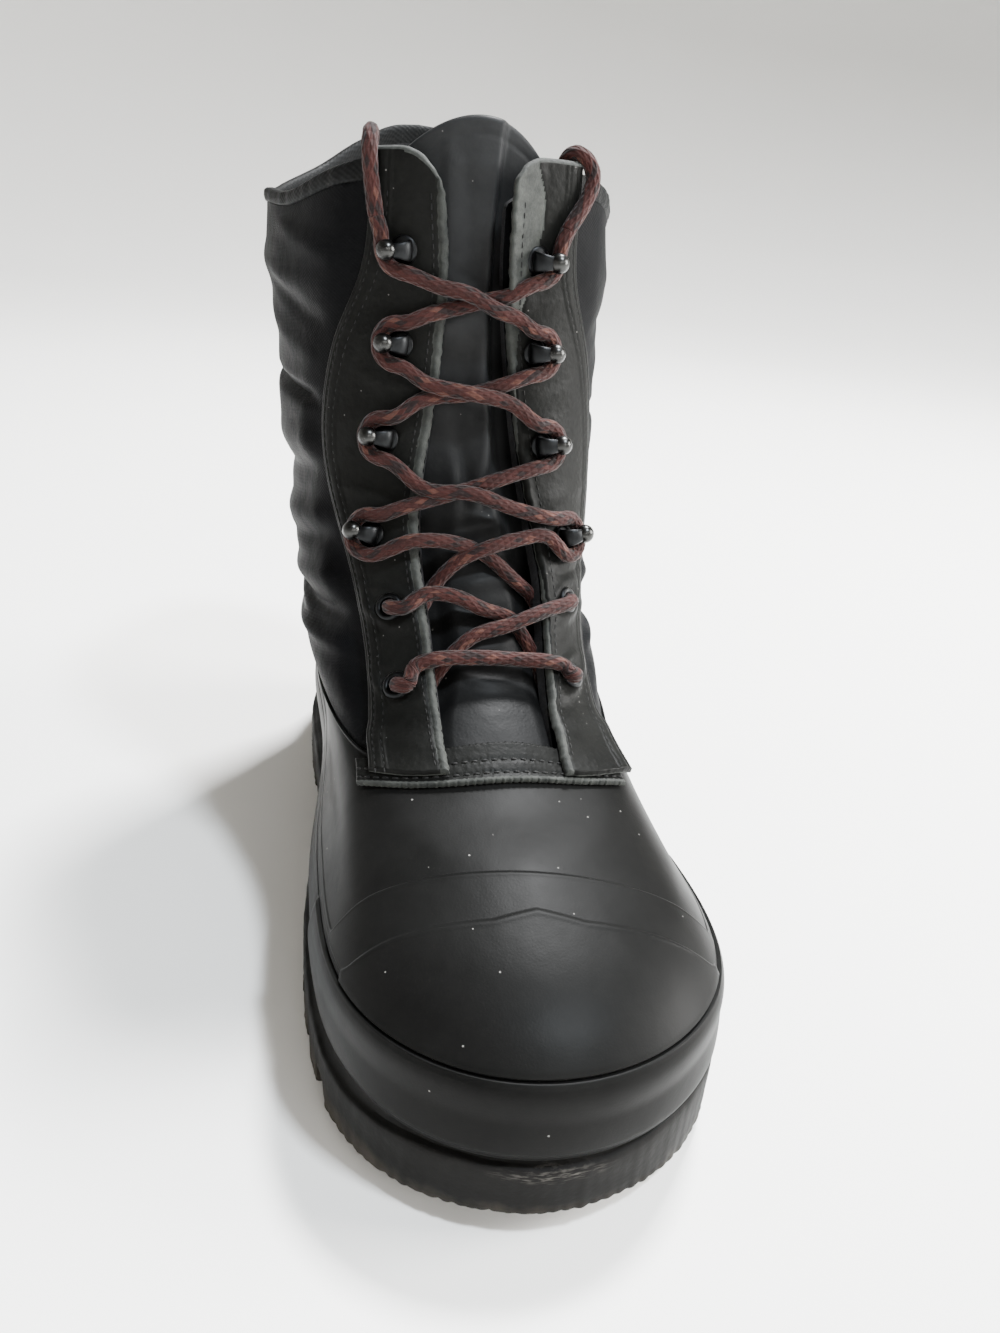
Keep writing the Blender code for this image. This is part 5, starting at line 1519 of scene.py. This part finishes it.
    def thread(self):
        """Waxed thread."""
        thread = self.begin("waxed thread", 0.55, specular=0.15)
        tone = thread.tone(400.0)
        colour = thread.mix(tone, (0.0030, 0.0030, 0.0030, 1.0), (0.0075, 0.0075, 0.0070, 1.0))
        return thread.done(colour, thread.spread(tone, 0.0, 1.0, 0.45, 0.65),
                           ((thread.noise(thread.place, 2500.0, 2.0), 0.05, 0.6),))

    def footbed(self):
        """Brushed grey cloth of the footbed."""
        cloth = self.begin("footbed cloth", 0.92, specular=0.2)
        fibres = cloth.noise(cloth.place, 1200.0, 4.0, 0.7)
        colour = cloth.mix(cloth.tone(90.0), (0.030, 0.030, 0.032, 1.0), (0.065, 0.065, 0.068, 1.0))
        return cloth.done(colour, cloth.spread(fibres, 0.3, 0.7, 0.85, 0.98), ((fibres, 0.3, 0.7),))

    def floor(self):
        """Plain pale floor with hardly any tone of its own."""
        floor = self.begin("pale floor", 0.85, specular=0.2)
        tone = floor.tone(2.5)
        return floor.done(floor.toned(tone, self.settings.stage.floor_colour, 0.985, 1.0),
                          floor.spread(tone, 0.0, 1.0, 0.80, 0.90))


# ---------------------------------------------------------------- stage

CAMERA_PLACE = (-0.0884, -0.3455, 0.2449)
CAMERA_TARGET = (0.01195, -0.00322, 0.08721)
STAGE_LIGHTS = (        # name, place, width, height, share of the main light's power, colour
    ("main_light", (0.55, 0.60, 1.75), 0.32, 0.32, 1.0, (0.975, 0.985, 1.0)),
    ("side_light", (1.45, -0.30, 0.65), 0.7, 0.7, 0.52, (1.0, 0.99, 0.97)),
    ("front_light", (0.52, -0.70, 1.75), 0.20, 0.20, 0.42, (0.86, 0.93, 1.0)),
    ("low_light", (0.45, -1.70, 0.95), 1.5, 0.25, 0.12, (1.0, 0.995, 0.98)),
)


LIGHT_TARGET = (0.0, -0.02, 0.1)
ROOM_COLOUR = (1.0, 0.94, 0.83, 1.0)
FLOOR_FLAT, FLOOR_SWEEP = 1.6, 2.3          # metres
FLOOR_RINGS, FLOOR_COLUMNS = 12, 96


def aim(thing, target, roll=0.0):
    """Turns a camera or light so that it looks at a place."""
    way = (Vector(target) - thing.location).to_track_quat("-Z", "Y")
    thing.rotation_euler = (way.to_matrix() @ Matrix.Rotation(math.radians(roll), 3, "Z")).to_euler()


def make_stage(settings, finish):
    """Round floor that sweeps up at its rim: height = r * (1 - cos(a)) beyond a flat radius."""
    scene = bpy.context.scene
    lens = bpy.data.cameras.new("camera")
    lens.lens = settings.lens
    lens.clip_start = 0.01
    camera = bpy.data.objects.new("camera", lens)
    scene.collection.objects.link(camera)
    camera.location = CAMERA_PLACE
    aim(camera, CAMERA_TARGET, settings.roll)
    scene.camera = camera
    for name, place, width, height, share, colour in STAGE_LIGHTS:
        lamp = bpy.data.lights.new(name, "AREA")
        lamp.shape = "RECTANGLE"
        lamp.size = width
        lamp.size_y = height
        lamp.energy = settings.light_power * share
        lamp.color = colour
        light = bpy.data.objects.new(name, lamp)
        scene.collection.objects.link(light)
        light.location = place
        aim(light, LIGHT_TARGET)
        light.visible_camera = False
    world = bpy.data.worlds.new("studio")
    world.use_nodes = True
    back = world.node_tree.nodes["Background"]
    back.inputs["Color"].default_value = ROOM_COLOUR
    back.inputs["Strength"].default_value = settings.world_strength
    scene.world = world
    bend = np.linspace(0, math.pi / 2, FLOOR_RINGS + 2)[1:]
    flat = np.linspace(0.02, FLOOR_FLAT, FLOOR_RINGS)
    radius = np.concatenate([flat, FLOOR_FLAT + FLOOR_SWEEP * np.sin(bend)])
    height = np.concatenate([0 * flat, FLOOR_SWEEP * (1 - np.cos(bend))])
    points = turned_points(radius, height, FLOOR_COLUMNS)
    skin = Skin()
    first = skin.grid(points[::-1], closed=True)
    skin.close_ring(first + (len(radius) - 1) * FLOOR_COLUMNS, FLOOR_COLUMNS, [0.0, 0.0, 0.0])
    ground = skin.make("studio_floor", [finish], 38.0)
    return ground


# ---------------------------------------------------------------- settings, operators, panel

class BootStageSettings(bpy.types.PropertyGroup):
    """Camera and light."""
    lens: FloatProperty(name="Lens", description="Focal length of the camera", default=30.11,
                        min=10, unit="CAMERA")
    roll: FloatProperty(name="Roll", description="Turn of the camera about its own line of sight",
                        default=5.39)
    light_power: FloatProperty(name="Light power", description="Power of the main light in watts",
                               default=150.0, min=0.0, unit="POWER")
    world_strength: FloatProperty(name="Room light", description="Strength of the even room light",
                                  default=0.33, min=0.0)
    floor_colour: FloatVectorProperty(name="Floor", description="Colour of the floor",
                                      subtype="COLOR", size=3, default=(0.88, 0.87, 0.845))


class BootRubberSettings(bpy.types.PropertyGroup):
    """Colours of the rubber."""
    shell_colour: FloatVectorProperty(name="Shell", description="Colour of the galosh",
                                      subtype="COLOR", size=3, default=(0.0042, 0.0042, 0.0040))
    sole_colour: FloatVectorProperty(name="Sole", description="Colour of the outsole",
                                     subtype="COLOR", size=3, default=(0.0042, 0.0041, 0.0038))
    dust: FloatProperty(name="Dust", description="How much the dust specks show", default=0.45,
                        min=0.0, max=1.0, subtype="FACTOR")


class BootUpperSettings(bpy.types.PropertyGroup):
    """Colours of nylon and leather."""
    nylon_colour: FloatVectorProperty(name="Nylon", description="Colour of the shaft",
                                      subtype="COLOR", size=3, default=(0.0022, 0.0023, 0.0026))
    leather_colour: FloatVectorProperty(name="Leather", description="Colour of the facings",
                                        subtype="COLOR", size=3, default=(0.0042, 0.0043, 0.0039))
    tongue_colour: FloatVectorProperty(name="Tongue", description="Colour of the tongue",
                                       subtype="COLOR", size=3, default=(0.0044, 0.0045, 0.0046))


class BootLaceSettings(bpy.types.PropertyGroup):
    """The lace."""
    diameter: FloatProperty(name="Diameter", description="Diameter of the lace",
                            default=2 * LACE_RADIUS * MM, min=0.001, unit="LENGTH")
    lace_colour: FloatVectorProperty(name="Lace", description="Main colour of the lace",
                                     subtype="COLOR", size=3, default=(0.0190, 0.0044, 0.0034))
    dark_share: FloatProperty(name="Dark flecks", description="Share of dark strands",
                              default=0.22, min=0.0, max=1.0, subtype="FACTOR")


class BootSettings(bpy.types.PropertyGroup):
    """All settings of the boot."""
    stage: PointerProperty(type=BootStageSettings)
    rubber: PointerProperty(type=BootRubberSettings)
    upper: PointerProperty(type=BootUpperSettings)
    lace: PointerProperty(type=BootLaceSettings)


MADE_FINISHES = {}


def finishes(context):
    """The palette of this run and the materials already made from it."""
    if not MADE_FINISHES:
        settings = context.scene.boot
        palette = Palette(settings)
        MADE_FINISHES.update(
            shell=palette.shell_rubber(), sole=palette.sole_rubber(), nylon=palette.nylon(),
            tape=palette.binding(), felt=palette.felt(), raw=palette.raw_edge(),
            leather=palette.leather("facing leather", settings.upper.leather_colour, 0.40, 0.54,
                                    520.0, 0.22),
            # the tongue's last number, 3.2, paints a paler sheen on its upper part
            tongue=palette.leather("tongue leather", settings.upper.tongue_colour, 0.42, 0.54,
                                   1100.0, 0.05, 3.2),
            suede=palette.leather("flesh side", (0.010, 0.0095, 0.009), 0.8, 0.95, 1400.0, 0.2),
            cord=palette.cord(), enamel=palette.metal("dark nickel", (0.013, 0.0135, 0.014), 0.36, 0.48),
            steel=palette.metal("dull steel", (0.032, 0.032, 0.031), 0.24, 0.36),
            thread=palette.thread(), footbed=palette.footbed(), floor=palette.floor())
    return MADE_FINISHES


def settle(piece, slot, *nodes):
    """Rides on the boot and stands for nodes of the solids, which it hides; the slot is not used."""
    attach(piece, "root")
    if nodes:
        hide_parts(*nodes)


class BOOT_OT_stage(bpy.types.Operator):
    """Camera, lights and the pale floor"""
    bl_idname = "boot.stage"
    bl_label = "Stage"

    def execute(self, context):
        make_stage(context.scene.boot.stage, finishes(context)["floor"])
        return {"FINISHED"}


class BOOT_OT_lace_tails(bpy.types.Operator):
    """Free ends of the lace, over the collar"""
    bl_idname = "boot.lace_tails"
    bl_label = "Lace ends"

    def execute(self, context):
        diameter = context.scene.boot.lace.diameter
        for side in SIDES:
            piece, path = make_lace_tail(side, [finishes(context)["cord"]], diameter / 2)
            settle(piece, "lace_cord", "lace_end_" + side)
        return {"FINISHED"}


class BOOT_OT_lace_front(bpy.types.Operator):
    """The laced length through eyelets and hooks"""
    bl_idname = "boot.lace_front"
    bl_label = "Lace"

    def execute(self, context):
        piece = make_lace_front([finishes(context)["cord"]], context.scene.boot.lace.diameter / 2)
        crossings = ["lace_crossing_" + str(number) for number in range(1, 6)]
        settle(piece, "lace_cord", "lace_bar", *crossings)
        return {"FINISHED"}


class BOOT_OT_rubber_foot(bpy.types.Operator):
    """Moulded rubber galosh with bumper and toe cap"""
    bl_idname = "boot.rubber_foot"
    bl_label = "Rubber foot"

    def execute(self, context):
        made = finishes(context)
        settle(make_rubber_foot([made["shell"], made["felt"]]), "shell_rubber", "rubber_shell")
        return {"FINISHED"}


class BOOT_OT_outsole(bpy.types.Operator):
    """Outsole with its skirt and lugs"""
    bl_idname = "boot.outsole"
    bl_label = "Outsole"

    def execute(self, context):
        settle(make_outsole([finishes(context)["sole"]]), "sole_rubber", "outsole")
        return {"FINISHED"}


class BOOT_OT_footbed(bpy.types.Operator):
    """Footbed inside the rubber"""
    bl_idname = "boot.footbed"
    bl_label = "Footbed"

    def execute(self, context):
        settle(make_footbed([finishes(context)["footbed"]]), "footbed", "insole")
        return {"FINISHED"}


class BOOT_OT_shaft(bpy.types.Operator):
    """Padded nylon shaft with its collar tape and lining"""
    bl_idname = "boot.shaft"
    bl_label = "Shaft"

    def execute(self, context):
        made = finishes(context)
        piece = make_shaft([made["nylon"], made["tape"], made["felt"]])
        settle(piece, "nylon", "nylon_shaft")
        return {"FINISHED"}


class BOOT_OT_facings(bpy.types.Operator):
    """Leather facings beside the throat and the strip under their feet"""
    bl_idname = "boot.facings"
    bl_label = "Facings and strip"

    def execute(self, context):
        made = finishes(context)
        leathers = [made["leather"], made["raw"], made["suede"]]
        for side in SIDES:
            settle(make_facing(side, leathers), "leather", "eyestay_" + side)
        settle(make_strip(leathers), "leather", "throat_strip")
        return {"FINISHED"}


class BOOT_OT_tongue(bpy.types.Operator):
    """Soft leather tongue"""
    bl_idname = "boot.tongue"
    bl_label = "Tongue"

    def execute(self, context):
        made = finishes(context)
        settle(make_tongue([made["tongue"], made["suede"]]), "tongue_leather", "tongue")
        return {"FINISHED"}


class BOOT_OT_fastenings(bpy.types.Operator):
    """Eyelets and speed hooks"""
    bl_idname = "boot.fastenings"
    bl_label = "Eyelets and hooks"

    def execute(self, context):
        made = finishes(context)
        nodes = [name + "_" + side for name in EYELETS for side in SIDES]
        settle(make_eyelets([made["enamel"]]), "dark_metal", *nodes)
        nodes = [name + "_" + side for name in HOOKS for side in SIDES]
        settle(make_hooks([made["enamel"], made["steel"]]), "dark_metal", *nodes)
        return {"FINISHED"}


class BOOT_OT_stitching(bpy.types.Operator):
    """Rows of stitches"""
    bl_idname = "boot.stitching"
    bl_label = "Stitching"

    def execute(self, context):
        settle(make_stitching([finishes(context)["thread"]]), "leather")
        return {"FINISHED"}


STEPS = (BOOT_OT_stage, BOOT_OT_lace_tails, BOOT_OT_lace_front, BOOT_OT_rubber_foot,
         BOOT_OT_outsole, BOOT_OT_footbed, BOOT_OT_shaft, BOOT_OT_facings, BOOT_OT_tongue,
         BOOT_OT_fastenings, BOOT_OT_stitching)


class BOOT_PT_pieces(bpy.types.Panel):
    """Sidebar panel with the settings and one button for each step"""
    bl_idname = "BOOT_PT_pieces"
    bl_label = "Rain boot"
    bl_space_type = "VIEW_3D"
    bl_region_type = "UI"
    bl_category = "Boot"

    def draw(self, context):
        settings = context.scene.boot
        for group in (settings.stage, settings.rubber, settings.upper, settings.lace):
            box = self.layout.box()
            for name in group.bl_rna.properties.keys():
                if name not in ("rna_type", "name"):
                    box.prop(group, name)
        for step in STEPS:
            self.layout.operator(step.bl_idname)


CLASSES = (BootStageSettings, BootRubberSettings, BootUpperSettings, BootLaceSettings, BootSettings,
           *STEPS, BOOT_PT_pieces)


def register():
    """Makes the settings, operators and panel known to Blender."""
    for made in CLASSES:
        bpy.utils.register_class(made)
    bpy.types.Scene.boot = PointerProperty(type=BootSettings)


def unregister():
    """Takes them away again."""
    del bpy.types.Scene.boot
    for made in reversed(CLASSES):
        bpy.utils.unregister_class(made)


def main():
    """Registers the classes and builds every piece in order."""
    register()
    for step in STEPS:
        group, name = step.bl_idname.split(".")
        getattr(getattr(bpy.ops, group), name)()


if __name__ == "__main__":
    main()
